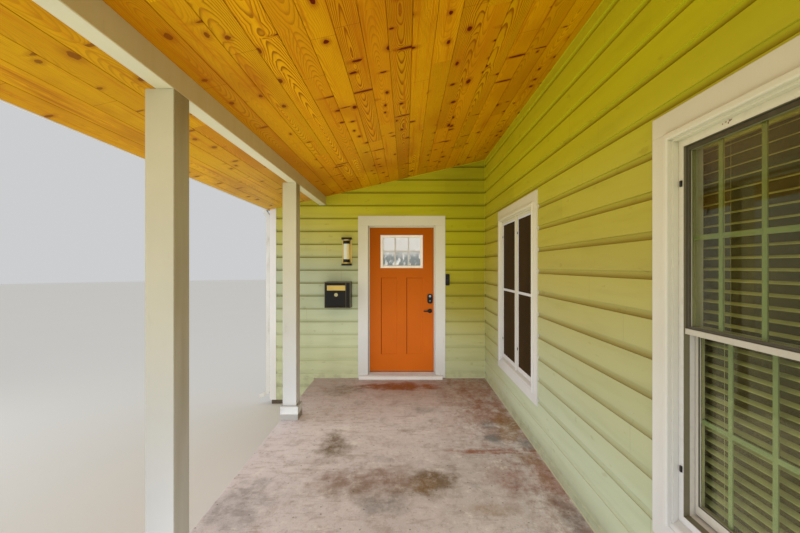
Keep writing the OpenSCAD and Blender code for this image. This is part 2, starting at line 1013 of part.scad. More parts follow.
// Each unit's frame, with a sloped sill inside its lower member
function unit_rect(u) = [u[0] - u[1] / 2, window_z0, u[0] + u[1] / 2, window_z1];
module window_frames() {
    x1 = house_x + frame_t;
    color(white)
        for (u = units) {
            r = unit_rect(u);
            ring_x(house_x, x1, inset(r, -frame_lap), inset(r, frame_w));
            along_y(r[0] + frame_w, r[2] - frame_w, [
                [house_x + 2, window_z0 + frame_w],
                [x1, window_z0 + frame_w],
                [x1, window_z0 + frame_w + 10],
                [x1 - 12, window_z0 + frame_w + 10]
            ]);
        }
}

// Sashes: the lower one slides behind the upper, and their rails meet at the
// middle. Where they meet, the upper's rail stands proud.
sash_w = 16;
foot_rail = 36;
sash_t = 30;
rail_h = 40;
sash_gap = 3;
meet_z = slab_h + 1290;
upper_x = house_x + 12;
lower_x = upper_x + sash_t + 5;
sash_foot = 12;

function sash_rect(u, upper) =
    let (r = inset(unit_rect(u), frame_w + sash_gap))
        upper
            ? [r[0], meet_z - rail_h / 2 + 8, r[2], r[3]]
            : [r[0], r[1] + sash_foot, r[2], meet_z + rail_h / 2];
function glass_rect(u, upper) =
    let (r = sash_rect(u, upper))
        [
            r[0] + sash_w,
            r[1] + (upper ? rail_h - 8 : foot_rail),
            r[2] - sash_w,
            r[3] - (upper ? sash_w : rail_h)
        ];

module window_sashes() {
    lip = 6;
    lip_h = 22;
    color(white)
        for (u = units)
            for (upper = [true, false]) {
                x0 = upper ? upper_x : lower_x;
                r = sash_rect(u, upper);
                ring_x(x0, x0 + sash_t, r, glass_rect(u, upper));
                if (upper)
                    block([x0 - lip, r[0], r[1]], [x0, r[2], r[1] + lip_h]);
            }
}

module window_panes() {
    pane_t = 6;
    color([0.7, 0.8, 0.8, 0.35])
        for (u = units)
            for (upper = [true, false]) {
                g = glass_rect(u, upper);
                x0 = (upper ? upper_x : lower_x) + (sash_t - pane_t) / 2;
                block([x0, g[0], g[1]], [x0 + pane_t, g[2], g[3]]);
            }
}

// Framed insect screens in front of the twin window's sashes, each with a bar
// across it at the height of the meeting rails
screen_x = house_x - 3;
screen_t = 7;
screen_bar = 17;
cross_h = 25;
function screen_rect(u) = inset(unit_rect(u), frame_w + 1);
module screen_frames() {
    color(white)
        for (u = twin_units) {
            r = screen_rect(u);
            ring_x(screen_x, screen_x + screen_t, r, inset(r, screen_bar));
            block(
                [screen_x, r[0] + screen_bar, meet_z - cross_h / 2],
                [screen_x + screen_t, r[2] - screen_bar, meet_z + cross_h / 2]
            );
        }
}

// The mesh, one piece above each cross bar and one below it
module window_screens() {
    mesh_x = screen_x + 3;
    mesh_t = 2;
    color([0.15, 0.16, 0.16])
        for (u = twin_units) {
            r = inset(screen_rect(u), screen_bar);
            for (z = [[r[1], meet_z - cross_h / 2], [meet_z + cross_h / 2, r[3]]])
                block([mesh_x, r[0], z[0]], [mesh_x + mesh_t, r[2], z[1]]);
        }
}

// Horizontal blind behind the wide window, as its closed outer shape
module window_blind() {
    u = wide_units[0];
    color([0.86, 0.86, 0.84])
        block(
            [house_x + 86, u[0] - u[1] / 2 + 8, window_z0 + 12],
            [house_x + 112, u[0] + u[1] / 2 - 8, window_z1 - 4]
        );
}

// Wall light: a bar, a neck and a collar at each end of an opal tube
light_x = edge_x + 453;
light_z = slab_h + 1562;
lamp_w = 140;
lamp_h = 384;
lamp_out = 104;
lamp_r = 43;
lamp_y = siding_y - lamp_out / 2 - 4;
bar_h = 26;
neck_h = 18;
collar_h = 38;

module wall_light_frame() {
    corner = 26;
    half = lamp_w / 2;
    plan = concat(
        [[half, 0], [-half, 0]],
        arc(-half + corner, -lamp_out + corner, corner, 180, 270, 6),
        arc(half - corner, -lamp_out + corner, corner, 270, 360, 6)
    );
    collar_zs = [light_z + bar_h + neck_h, light_z + lamp_h - bar_h - neck_h - collar_h];
    color(black) {
        for (z = [light_z, light_z + lamp_h - bar_h])
            translate([light_x, siding_y, 0])
                along_z(z, z + bar_h, plan);
        for (z = collar_zs)
            translate([light_x, lamp_y, z])
                cylinder(h = collar_h, r = lamp_r + 4, $fn = 48);
    }
}

module wall_light_plate() {
    plate_w = 132;
    color(brass) {
        block(
            [light_x - plate_w / 2, siding_y - 8, light_z + bar_h],
            [light_x + plate_w / 2, siding_y, light_z + lamp_h - bar_h]
        );
        for (z = [light_z + bar_h, light_z + lamp_h - bar_h - neck_h])
            translate([light_x, lamp_y, z])
                cylinder(h = neck_h, r = lamp_r - 4, $fn = 48);
    }
}

module wall_light_tube() {
    ends = bar_h + neck_h + collar_h;
    color([0.93, 0.93, 0.9])
        translate([light_x, lamp_y, light_z + ends])
            cylinder(h = lamp_h - 2 * ends, r = lamp_r, $fn = 64);
}

// Mailbox: a sheet metal box whose front door and slot flap turn on rods
box_x0 = edge_x + 172;
box_w = 349;
box_z = slab_h + 990;
box_h = 350;
box_d = 180;
box_wall = 3;
box_front = siding_y - box_d;
face_x0 = box_x0 + 37;
face_x1 = face_x0 + 245;
door_z0 = slab_h + 1010;
door_z1 = slab_h + 1202;
flap_z0 = slab_h + 1226;
flap_z1 = slab_h + 1295;
rod_y = box_front - 9;
rod_r = 3.5;
rod_pin_r = 1.4;
cover = 9;

// A pair of lugs with the pin between them that a cover turns on
module rod_lugs(z) {
    lug = 6;
    half = rod_r + 0.5;
    for (x = [face_x0 - lug - play, face_x1 + play])
        block([x, rod_y - half, z - half], [x + lug, box_front, z + half]);
    rod_x(face_x0 - lug, face_x1 + lug, rod_y, z, rod_pin_r);
}

// A bored rod with the plate that hangs from it or stands on it
module hinged_cover(rod_z, z0, z1) {
    difference() {
        union() {
            rod_x(face_x0, face_x1, rod_y, rod_z, rod_r);
            block([face_x0, rod_y - 1.5, z0], [face_x1, rod_y + 1.5, z1]);
            children();
        }
        rod_x(face_x0 - past, face_x1 + past, rod_y, rod_z, rod_pin_r + 0.2);
    }
}

module mailbox_body() {
    color(black) {
        difference() {
            block([box_x0, box_front, box_z], [box_x0 + box_w, siding_y, box_z + box_h]);
            block(
                [box_x0 + box_wall, box_front + box_wall, box_z + box_wall],
                [box_x0 + box_w - box_wall, siding_y - box_wall, box_z + box_h - box_wall]
            );
            for (z = [[door_z0, door_z1], [flap_z0, flap_z1]])
                block(
                    [face_x0 + cover, box_front - past, z[0] + cover],
                    [face_x1 - cover, box_front + box_wall + past, z[1] - cover]
                );
        }
        rod_lugs(door_z0 + rod_r);
        rod_lugs(flap_z1 - rod_r);
    }
}

// Drop-down door with a round lock near its upper edge
module mailbox_door() {
    lock_r = 20;
    lock_t = 5;
    color(black)
        hinged_cover(door_z0 + rod_r, door_z0 + rod_r, door_z1)
            translate([(face_x0 + face_x1) / 2, rod_y - 1.5 - lock_t, door_z1 - 33])
                rotate([-90, 0, 0])
                    cylinder(h = lock_t, r = lock_r, $fn = 48);
}

// Flap over the slot, hung from its upper edge
module mailbox_flap() {
    color(brass)
        hinged_cover(flap_z1 - rod_r, flap_z0, flap_z1 - rod_r);
}

module doorbell() {
    bell_w = 56;
    bell_h = 158;
    bell_t = 24;
    color(black)
        translate([casing_x1 + 2 + bell_w / 2, siding_y, slab_h + 1366])
            rotate([90, 0, 0])
                linear_extrude(height = bell_t)
                    rounded_plate(bell_w, bell_h, 12);
}

slab();
foundation();
house_wall();
wing_wall_left();
wing_wall_right();
wing_wall_header();
house_siding();
wing_siding();
corner_boards();
posts();
post_bases();
beam();
ceiling_boards();
rafters();
roof_deck();
roof_covering();
fascia();
gutter();
downspout();
door_casing();
door_frame();
door_sill();
door_threshold();
door_leaf();
door_light_frame();
door_light_glass();
hinge_barrels();
hinge_leaves();
deadbolt();
lever_roses();
lever_handle();
window_casings();
window_frames();
window_sashes();
window_panes();
screen_frames();
window_screens();
window_blind();
wall_light_frame();
wall_light_plate();
wall_light_tube();
mailbox_body();
mailbox_door();
mailbox_flap();
doorbell();
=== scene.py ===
"""Entrance porch: the finishes and small pieces built round its CAD frame."""

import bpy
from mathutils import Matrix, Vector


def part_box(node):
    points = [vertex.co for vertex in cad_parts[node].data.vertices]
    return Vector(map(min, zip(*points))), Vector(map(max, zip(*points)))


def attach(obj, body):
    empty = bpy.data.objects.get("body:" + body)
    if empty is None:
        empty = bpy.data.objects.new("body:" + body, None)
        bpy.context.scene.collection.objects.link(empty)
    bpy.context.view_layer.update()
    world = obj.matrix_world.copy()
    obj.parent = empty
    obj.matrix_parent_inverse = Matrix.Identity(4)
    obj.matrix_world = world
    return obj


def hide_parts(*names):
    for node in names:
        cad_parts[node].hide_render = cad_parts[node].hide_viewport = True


bl_info = {
    "name": "Entrance porch",
    "version": (1, 0, 0),
    "blender": (4, 5, 0),
    "location": "View3D > Sidebar > Porch",
    "description": "Finishes, small fittings and studio for a covered entrance porch",
    "category": "Add Mesh",
}

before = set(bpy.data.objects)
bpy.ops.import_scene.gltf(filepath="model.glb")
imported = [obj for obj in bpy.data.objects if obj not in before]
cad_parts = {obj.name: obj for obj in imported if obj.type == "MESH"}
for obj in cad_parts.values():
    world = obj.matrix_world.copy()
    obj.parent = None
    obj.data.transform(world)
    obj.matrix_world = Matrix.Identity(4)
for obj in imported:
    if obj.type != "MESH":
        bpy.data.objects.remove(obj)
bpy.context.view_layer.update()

import math
import random

import bmesh
import bpy
from bpy.props import FloatProperty, FloatVectorProperty, PointerProperty
from mathutils import Vector

# Sizes that the CAD frame doesn't tell by a box, in metres
PITCH = math.radians(13.06)
BOARD_W = 0.130
BOARD_STEP = BOARD_W * math.cos(PITCH)
LEAF_GAP = 0.005
ROSE_RADIUS = 0.031
SASH_STEP = 0.035
MAILBOX_DEPTH = 0.180
# Siding: the height of a course, where the lowest starts, and the share of its height that is hollow
COURSE_H = 0.1788
SIDING_FOOT = 0.061
COVE_SHARE = 0.2237
# Heights of the downspout's straps, and how far their faces stand off the corner board's side
STRAPS = (0.70, 2.25)
STRAP_FACE = 0.0572

# Sizes that only this file gives
SIDING_LENGTH = 3.66
WALL_BOARD = 1.22
# Height of the nails above a course's foot
NAIL_RISE = 0.063
# Half the height of the latch plates
PLATE_HALF = 0.029
# Radians in each metre of the waves that draw the screens' threads
THREAD_WAVES = 4200.0


def solids(node):
    """The lowest and highest corner of each separate solid in a CAD node, in the order of their places"""
    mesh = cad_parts[node].data
    places = {}
    home = [places.setdefault(tuple(round(c, 5) for c in v.co), len(places)) for v in mesh.vertices]
    parent = list(range(len(places)))

    def root(i):
        while parent[i] != i:
            parent[i] = parent[parent[i]]
            i = parent[i]
        return i

    for polygon in mesh.polygons:
        first = root(home[polygon.vertices[0]])
        for v in polygon.vertices[1:]:
            parent[root(home[v])] = first
    groups = {}
    for place, i in places.items():
        groups.setdefault(root(i), []).append(place)
    boxes = [(Vector(map(min, zip(*g))), Vector(map(max, zip(*g)))) for g in groups.values()]
    return sorted(boxes, key=lambda b: (round(b[0].y, 3), round(b[0].z, 3), round(b[0].x, 3)))


# Places read from the frame
SLAB_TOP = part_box("slab")[1].z
# Face and open end of the house wall's siding, then of the wing's
SIDING_X, WALL_END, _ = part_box("house_siding")[0]
WING_END, SIDING_Y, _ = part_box("wing_siding")[0]
CEILING_LOW, CEILING_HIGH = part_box("ceiling_boards")
LEAF_LOW, LEAF_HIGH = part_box("door_leaf")
BEAM_LOW, BEAM_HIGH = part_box("beam")
SASH_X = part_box("window_sashes")[0].x


def spaced(first, last, count):
    """Evenly spaced places, both ends among them where there are two or more"""
    return [first + k * (last - first) / max(count - 1, 1) for k in range(count)]


def ceiling_z(x):
    """Height of the ceiling's underside at a distance across the porch"""
    return CEILING_LOW.z + (x - CEILING_LOW.x) * math.tan(PITCH)


def linear(colour):
    """A colour as a screen shows it, turned into the light that a shader takes"""
    return tuple(c / 12.92 if c <= 0.04045 else ((c + 0.055) / 1.055) ** 2.4 for c in colour) + (1.0,)


def shade(colour, by):
    """The same colour, darker below 1 and lighter above it"""
    return tuple(min(1.0, c * by) for c in colour)


class Value:
    """A number or colour that a material works out at each point, open to plain sums"""

    def __init__(self, finish, socket):
        self.finish = finish
        self.socket = socket

    def __add__(self, other):
        return self.finish.math("ADD", self, other)

    def __sub__(self, other):
        return self.finish.math("SUBTRACT", self, other)

    def __rsub__(self, other):
        return self.finish.math("SUBTRACT", other, self)

    def __mul__(self, other):
        return self.finish.math("MULTIPLY", self, other)

    def __truediv__(self, other):
        return self.finish.math("DIVIDE", self, other)

    def __gt__(self, other):
        return self.finish.math("GREATER_THAN", self, other)

    def __lt__(self, other):
        return self.finish.math("LESS_THAN", self, other)

    def __abs__(self):
        return self.finish.math("ABSOLUTE", self)

    def floor(self):
        return self.finish.math("FLOOR", self)

    def fract(self):
        return self.finish.math("FRACT", self)

    def step(self, start, end):
        """0 below start and 1 above end, smooth between them; falls where end is the smaller"""
        smooth = {"interpolation_type": "SMOOTHSTEP"}
        return self.finish.value("MapRange", 0, smooth, Value=self, From_Min=start, From_Max=end)

    def random(self):
        """Three random numbers, which change only where this one does"""
        noise = self.finish.value("TexWhiteNoise", "Color", {"noise_dimensions": "1D"}, W=self)
        return self.finish.split(noise, "Color")


class Finish:
    """Builds one procedural material, node by node. Its base colour is laid on in coats."""

    def __init__(self, name, **sockets):
        self.material = bpy.data.materials.new(name)
        self.material.use_nodes = True
        self.tree = self.material.node_tree
        self.shader = self.tree.nodes["Principled BSDF"]
        for socket, value in sockets.items():
            self.shader.inputs[socket.replace("_", " ")].default_value = value
        self.place = self.value("TexCoord", "Object")
        self.x, self.y, self.z = self.split(self.place)
        self.base = (1.0, 1.0, 1.0)

    def feed(self, socket, value):
        """Links a worked-out value to a socket, or sets a plain one on it"""
        if isinstance(value, Value):
            self.tree.links.new(value.socket, socket)
        else:
            socket.default_value = value

    def add(self, kind, settings=None, **inputs):
        """A new node, with its settings and its inputs by name"""
        node = self.tree.nodes.new("ShaderNode" + kind)
        for name, value in (settings or {}).items():
            setattr(node, name, value)
        for name, value in inputs.items():
            self.feed(node.inputs[name.replace("_", " ")], value)
        return node

    def value(self, kind, output=0, settings=None, **inputs):
        """One output of a new node"""
        return Value(self, self.add(kind, settings, **inputs).outputs[output])

    def work(self, kind, operation, *inputs, output=0):
        """What a Math or VectorMath node makes of its inputs"""
        node = self.add(kind, {"operation": operation})
        for socket, value in zip(node.inputs, inputs):
            self.feed(socket, value)
        return Value(self, node.outputs[output])

    def math(self, operation, *inputs):
        """One sum with numbers"""
        return self.work("Math", operation, *inputs)

    def split(self, value, kind="XYZ"):
        """The three parts of a vector or colour"""
        node = self.add("Separate" + kind)
        self.feed(node.inputs[0], value)
        return [Value(self, part) for part in node.outputs]

    def noise(self, scale, detail=3.0, by=(1, 1, 1), roughness=0.5):
        """Noise from 0 to 1, its place first multiplied axis by axis"""
        place = self.work("VectorMath", "MULTIPLY", self.place, by)
        return self.value("TexNoise", Vector=place, Scale=scale, Detail=detail, Roughness=roughness)

    def mix(self, share, a, b, blend="MIX"):
        """Two colours mixed: only the second where the share is 1"""
        node = self.add("Mix", {"data_type": "RGBA", "blend_type": blend})
        self.feed(node.inputs[0], share)
        for socket, colour in zip([s for s in node.inputs if s.type == "RGBA"], (a, b)):
            self.feed(socket, colour if isinstance(colour, Value) else linear(colour))
        return Value(self, next(s for s in node.outputs if s.type == "RGBA"))

    def coat(self, share, colour):
        """Lays a colour over the base, as far as the share says"""
        self.base = self.mix(share, self.base, colour)

    def tint(self, share, colour):
        """Multiplies the base by a colour, as far as the share says"""
        self.base = self.mix(share, self.base, colour, "MULTIPLY")

    def ramp(self, value, *stops):
        """Greys by position, with straight runs between them"""
        node = self.add("ValToRGB", None, Fac=value)
        points = node.color_ramp.elements
        while len(points) < len(stops):
            points.new(0.5)
        for point, (position, grey) in zip(points, stops):
            point.position = position
            point.color = (grey, grey, grey, 1.0)
        return Value(self, node.outputs[0])

    def near(self, centre, spread, rough):
        """1 at a point of the frame and 0 past its spread, with a ragged edge"""
        gap = self.work("VectorMath", "SUBTRACT", self.place, centre)
        scaled = self.work("VectorMath", "MULTIPLY", gap, [1 / s for s in spread])
        distance = self.work("VectorMath", "LENGTH", scaled, output="Value")
        return (distance + (self.noise(6, 5) - 0.5) * rough).step(1.0, 0.35)

    def corners(self, reach):
        """1 in the open and lower in corners"""
        return self.value("AmbientOcclusion", "AO", {"samples": 6, "only_local": False}, Distance=reach)

    def worn_edge(self, reach):
        """1 on sharp edges and 0 on flat faces"""
        bevel = self.value("Bevel", 0, {"samples": 4}, Radius=reach)
        normal = self.value("NewGeometry", "Normal")
        return self.work("VectorMath", "DOT_PRODUCT", bevel, normal, output="Value").step(0.985, 0.9)

    def close(self, rough, height=None, distance=0.0, strength=0.5):
        """Joins base colour, roughness and bump to the shader, and gives the material"""
        self.feed(self.shader.inputs["Base Color"], self.base)
        self.feed(self.shader.inputs["Roughness"], rough)
        if height:
            bump = self.value("Bump", Height=height, Distance=distance, Strength=strength)
            self.feed(self.shader.inputs["Normal"], bump)
        return self.material


def painted(
    name, colour, dirt_and_shade, roughness=0.42, grime_and_shade=0.35, wear=0.25, brush=(1, 1, 1),
    high=None, turned=None, gloss=0.4, shadows=(),
):
    """Brushed paint on wood: faint clouds, painted shade in corners, rubbed edges and brush marks; painted
    shade under the ceiling, on faces turned to the house wall, and painted shadows where asked
    """
    f = Finish(name, IOR=1.45, Specular_IOR_Level=gloss)
    f.base = colour
    clouds = f.noise(2.2, 4)
    if high:
        # Painted light and shade: the colour turns to high towards the ceiling
        f.coat(f.z.step(0.6, 2.6), high)
    if turned:
        # Painted shade on faces turned towards the house wall
        shaded_side = f.split(f.value("NewGeometry", "Normal"))[0].step(0.3, 0.8)
        f.tint(shaded_side * (f.noise(3, 4, (1, 6, 0.5)) * 0.4 + 0.65), turned)
    f.tint(clouds.step(0.7, 0.3) * 0.5, (0.95, 0.95, 0.95))
    f.tint(f.noise(0.9, 3, (1, 1, 0.4)).step(0.5, 0.8) * 0.6, (0.95, 0.945, 0.94))
    f.coat(f.noise(14, 6, brush, 0.7).step(0.62, 0.75) * 0.22, dirt_and_shade)
    # Painted shade: darker in corners, where ambient occlusion finds them, in the dirt colour
    f.coat(f.corners(0.05).step(0.6, 0.2) * grime_and_shade, dirt_and_shade)
    f.coat(f.worn_edge(0.004) * f.noise(30, 4).step(0.4, 0.7) * wear, shade(dirt_and_shade, 0.8))
    # Painted shadows over the spans given, in the dirt colour
    for (x0, x1), (z0, z1), strength in shadows:
        inside = (f.x > x0) * (f.x < x1) * ((f.z > z0) * (f.z < z1))
        f.coat(inside * strength, dirt_and_shade)
    relief = f.noise(60, 3, brush) + f.noise(7, 2, brush) * 0.5
    return f.close(clouds * 0.15 + (roughness - 0.07), relief, 0.0012)


def trim(name, paints, low, high, inner):
    """Cream paint of posts, beam and casings; low sets how light or dark each copy is as painted light and
    shade, and high and inner scale its painted shade under the ceiling and on faces turned to the house
    wall
    """
    return painted(
        name, shade(paints.cream, low), paints.trim_dirt_and_shade, brush=(1, 1, 0.2),
        high=shade(paints.cream_shaded_high, high), turned=shade(paints.cream_shaded_side, inner),
    )


# Painted shadows in the grooves of the door's panels: span in X, span in Z, strength
DOOR_SHADOWS = (
    ((-0.276, -0.267), (0.674, 1.752), 0.75), ((0.083, 0.092), (0.674, 1.752), 0.75),
    ((-0.276, -0.049), (1.743, 1.752), 0.3), ((0.083, 0.310), (1.743, 1.752), 0.3),
)


def orange_paint(name, paints):
    """Satin paint of the door leaf, with painted shade at its head and painted shadows in its panels'
    grooves
    """
    return painted(
        name, paints.door, (0.40, 0.15, 0.02), 0.38, grime_and_shade=0.55, wear=0.3, brush=(1, 1, 0.15),
        high=paints.door_shaded_high, gloss=0.07, shadows=DOOR_SHADOWS,
    )


def siding_paint(name, paints):
    """Green paint on siding, with painted light and shade: paler near the ground and the open side, darker
    and yellower under the ceiling and in the coves; each length in its own tone
    """
    f = Finish(name, IOR=1.45, Specular_IOR_Level=0.3)
    height = (f.z - SIDING_FOOT) / COURSE_H
    board = (height - COVE_SHARE).floor()
    on_wing = f.y > SIDING_Y - 0.002
    on_house = 1.0 - on_wing
    row = board * 3.17 + on_wing * 11.3
    run = (f.x + f.y) / SIDING_LENGTH + row.random()[0] * 3.0
    tone = (row + run.floor() * 5.3).random()
    grain = f.noise(3.2, 5, (0.5, 0.5, 5))

    # Painted light and shade: paler towards the open side and the slab, darker and yellower in the corner
    # by the house wall and under the ceiling
    corner = on_wing * f.x.step(-0.5, 0.8) * 0.7
    f.base = f.mix((f.z + corner).step(1.9, 3.0), paints.siding, paints.siding_shaded_high)
    # Painted light: paler lower down and towards the open side
    cover = f.z + f.noise(0.8, 4) * 0.3 + (f.x * 0.35 + corner)
    f.coat(cover.step(2.75, 1.2), paints.siding_lit_low)
    # Painted light from the open side and from below, on the door's wall
    lit_open_side = on_wing * (f.x + f.z * 0.35).step(0.75, -0.6) * f.z.step(2.3, 1.3)
    lit_low_end = on_wing * f.z.step(1.5, 0.5)
    f.coat(lit_open_side * 0.18 + lit_low_end * 0.27, (0.93, 0.95, 0.76))
    # Painted warm light at the far end of the house wall and high on the open side of the door's wall
    lit_far_end = on_house * f.y.step(1.6, 2.8)
    lit_high_left = on_wing * f.x.step(0.1, -0.9) * f.z.step(1.8, 2.3)
    f.coat(lit_far_end * 0.22 + lit_high_left * 0.22, (0.95, 0.90, 0.24))
    # Painted light high on the house wall
    f.coat(on_house * f.z.step(2.3, 3.1) * 0.34, (0.90, 0.90, 0.10))
    # Painted light at the foot of the house wall
    f.coat(on_house * f.z.step(1.0, 0.36) * 0.5, (0.90, 0.96, 0.86))
    # Painted shade on the door's wall next to the house wall
    f.tint(on_wing * f.x.step(0.2, 0.9) * f.z.step(1.2, 1.7) * 0.5, (0.84, 0.84, 0.70))

    # Lengths and streaks, painted shade in the hollows, joints, painted shade in the cracks, and splashes
    f.tint(tone[0] * 0.5, (0.93, 0.93, 0.90))
    f.tint(grain.step(0.45, 0.75) * 0.35, (0.90, 0.89, 0.84))
    f.coat(f.noise(13, 3, (0.6, 0.6, 1.4)).step(0.66, 0.72) * 0.2, paints.siding_shade_and_joints)
    # Painted shade in the coves, stronger higher up, in a colour of its own on each wall
    cove = height.fract().step(COVE_SHARE, 0.0) * (f.z.step(0.6, 1.8) * 0.66 + 0.12)
    f.coat(cove, f.mix(on_wing, paints.siding_shade_and_joints, paints.siding_cove_shade_wing))
    joint = (abs(run.fract() - 0.5) * SIDING_LENGTH).step(0.0016, 0.0006) * 0.35
    f.coat(joint, shade(paints.siding_shade_and_joints, 0.6))
    # Painted shade in cracks and corners, found by ambient occlusion
    f.coat(f.corners(0.02).step(0.5, 0.15) * 0.45, shade(paints.siding_shade_and_joints, 0.5))
    splash = f.z.step(SLAB_TOP + 0.16, SLAB_TOP - 0.02) * f.noise(9, 5).step(0.4, 0.65)
    f.coat(splash * 0.25, paints.grime_and_shade)
    knots = f.value("TexVoronoi", "Distance", Vector=f.place, Scale=3.1)
    relief = grain * 0.5 + knots.step(0.05, 0.09) * 0.25 + joint * -1.5
    return f.close(grain * 0.16 + 0.46, relief, 0.0016)


def stained_pine(name, paints, sizes):
    """Stained knotty pine. Rings are distances from a wandering pith, and they bend round knots."""
    f = Finish(name, IOR=1.45, Specular_IOR_Level=0.08)
    inner = f.x > (BEAM_LOW.x + BEAM_HIGH.x) / 2
    open_part = inner * f.x.step(BEAM_HIGH.x, BEAM_HIGH.x + 0.7)
    across = (f.x - (inner * (BEAM_HIGH.x - CEILING_LOW.x) + CEILING_LOW.x)) / BOARD_STEP
    board = across.floor() + inner * 37.0
    a = (across.fract() - 0.5) * BOARD_W
    run = f.y / sizes.board_length + board.random()[0] * 3.0
    seed = board * 7.13 + run.floor() * 3.71
    tone = seed.random()
    pick = (seed + 0.5).random()

    # Pith: c is its place across the board, and h its depth behind the face, which rises and falls
    wander = f.value("CombineXYZ", X=seed * 1.37, Y=f.y * 0.42)
    drift = f.split(f.value("TexNoise", "Color", Vector=wander, Scale=1.0, Detail=1.5), "Color")
    off = pick[0] * 2.0 - 1.0
    c = off * (off * off) * 0.15 + (drift[0] - 0.5) * 0.05
    depth = f.y * (pick[2] * 0.05 + 0.04) + (pick[1] * 0.2 + (drift[1] - 0.5) * 0.12)
    h = f.math("PINGPONG", depth, 0.08) + 0.008
    wave = f.noise(9, 3, (1.6, 0.35, 0), 0.55)
    ripple = f.noise(32, 2, (1.0, 0.6, 0))
    side = a + ((wave - 0.5) * 0.014 + (ripple - 0.5) * 0.005) - c
    ring_radius = f.math("SQRT", side * side + h * h)

    # Knots: one chance in each cell, round or drawn out across the board
    spot = f.value("CombineXYZ", X=a + seed * 2.31, Y=f.y)
    flat = {"voronoi_dimensions": "2D"}
    cells = f.add("TexVoronoi", flat, Vector=spot, Scale=1 / sizes.knot_gap).outputs
    dx, dy, _ = f.split(f.work("VectorMath", "SUBTRACT", spot, Value(f, cells["Position"])))
    kind = f.split(Value(f, cells["Color"]), "Color")
    spike = kind[1] > 0.76
    dx = dx * (spike * -0.5 + (kind[2] * 0.7 + 0.65))
    dy = dy * (spike * 0.7 + (kind[2] * -0.6 + 1.15))
    reach = f.math("SQRT", dx * dx + dy * dy)
    chance = f.x.step(-0.6, 0.9) * -0.22 + 0.48
    size = f.math("MAXIMUM", (kind[0] > chance) * (kind[0] * 0.021 + 0.001), 0.00001)
    ratio = (reach + (f.noise(48, 4) - 0.5) * 0.014) / size
    showing = open_part * 0.4 + 0.58
    knot = ratio.step(1.1, 0.9) * showing
    swell = f.math("EXPONENT", reach / size * -0.45) * 2.6

    # Rings: late is the dark part of each
    late = f.ramp(
        (ring_radius / sizes.ring_gap + swell).fract(),
        (0.0, 0.0), (0.5, 0.1), (0.82, 1.0), (0.93, 0.9), (1.0, 0.0),
    )
    bold = (tone[2].step(0.25, 0.8) * 0.75 + 0.45) * (open_part * 0.5 + 0.5)
    late = late * bold * (f.noise(5, 3, (1, 0.3, 1)) * 0.7 + 0.55)
    fibres = f.noise(1, 3, (420, 9, 420), 0.6)
    streaks = f.noise(1, 4, (38, 0.9, 38), 0.6)

    pale, deep = paints.stain_pale, paints.stain_deep
    f.base = f.mix(tone[0], shade(pale, 1.05), shade(pale, 0.80))
    f.coat(tone[1] * 0.75, paints.stain_red)
    f.coat(late, shade(deep, 0.92))
    f.coat(fibres.step(0.5, 0.75) * 0.35, shade(deep, 0.9))
    f.coat(streaks.step(0.48, 0.66) * 0.6, paints.stain_red)
    f.coat(streaks.step(0.56, 0.72) * 0.6, shade(deep, 1.1))
    f.coat(f.noise(1.6, 5, (1.6, 0.5, 1)).step(0.48, 0.7) * 0.5, (0.66, 0.36, 0.0))
    # Painted light and shade: darker beside the beam, darker and yellower near the house wall, paler on the
    # outer boards towards the far end
    f.coat(inner * f.x.step(BEAM_HIGH.x + 0.35, BEAM_HIGH.x) * 0.4, shade(deep, 0.9))
    f.coat(f.x.step(SIDING_X - 0.75, SIDING_X) * 0.3, (0.68, 0.50, 0.0))
    f.coat((1.0 - inner) * f.y.step(0.0, 2.5) * 0.13, (1.0, 0.95, 0.66))
    f.coat(ratio.step(3.0, 0.9) * 0.6 * showing, (0.60, 0.28, 0.0))
    f.coat(knot, paints.knot)
    groove = abs(a).step(BOARD_W / 2 - 0.0036, BOARD_W / 2 - 0.0010)
    f.coat(groove * (f.math("ROUND", across).random()[1] * 0.4 + 0.1), (0.46, 0.22, 0.0))
    end = abs(run.fract() - 0.5) * sizes.board_length
    f.coat(end.step(0.0016, 0.0006) * 0.7, paints.knot)
    relief = late * 0.3 + (fibres * 0.35 + knot * -0.4)
    return f.close(late * -0.08 + 0.5, relief, 0.0010, 0.6)


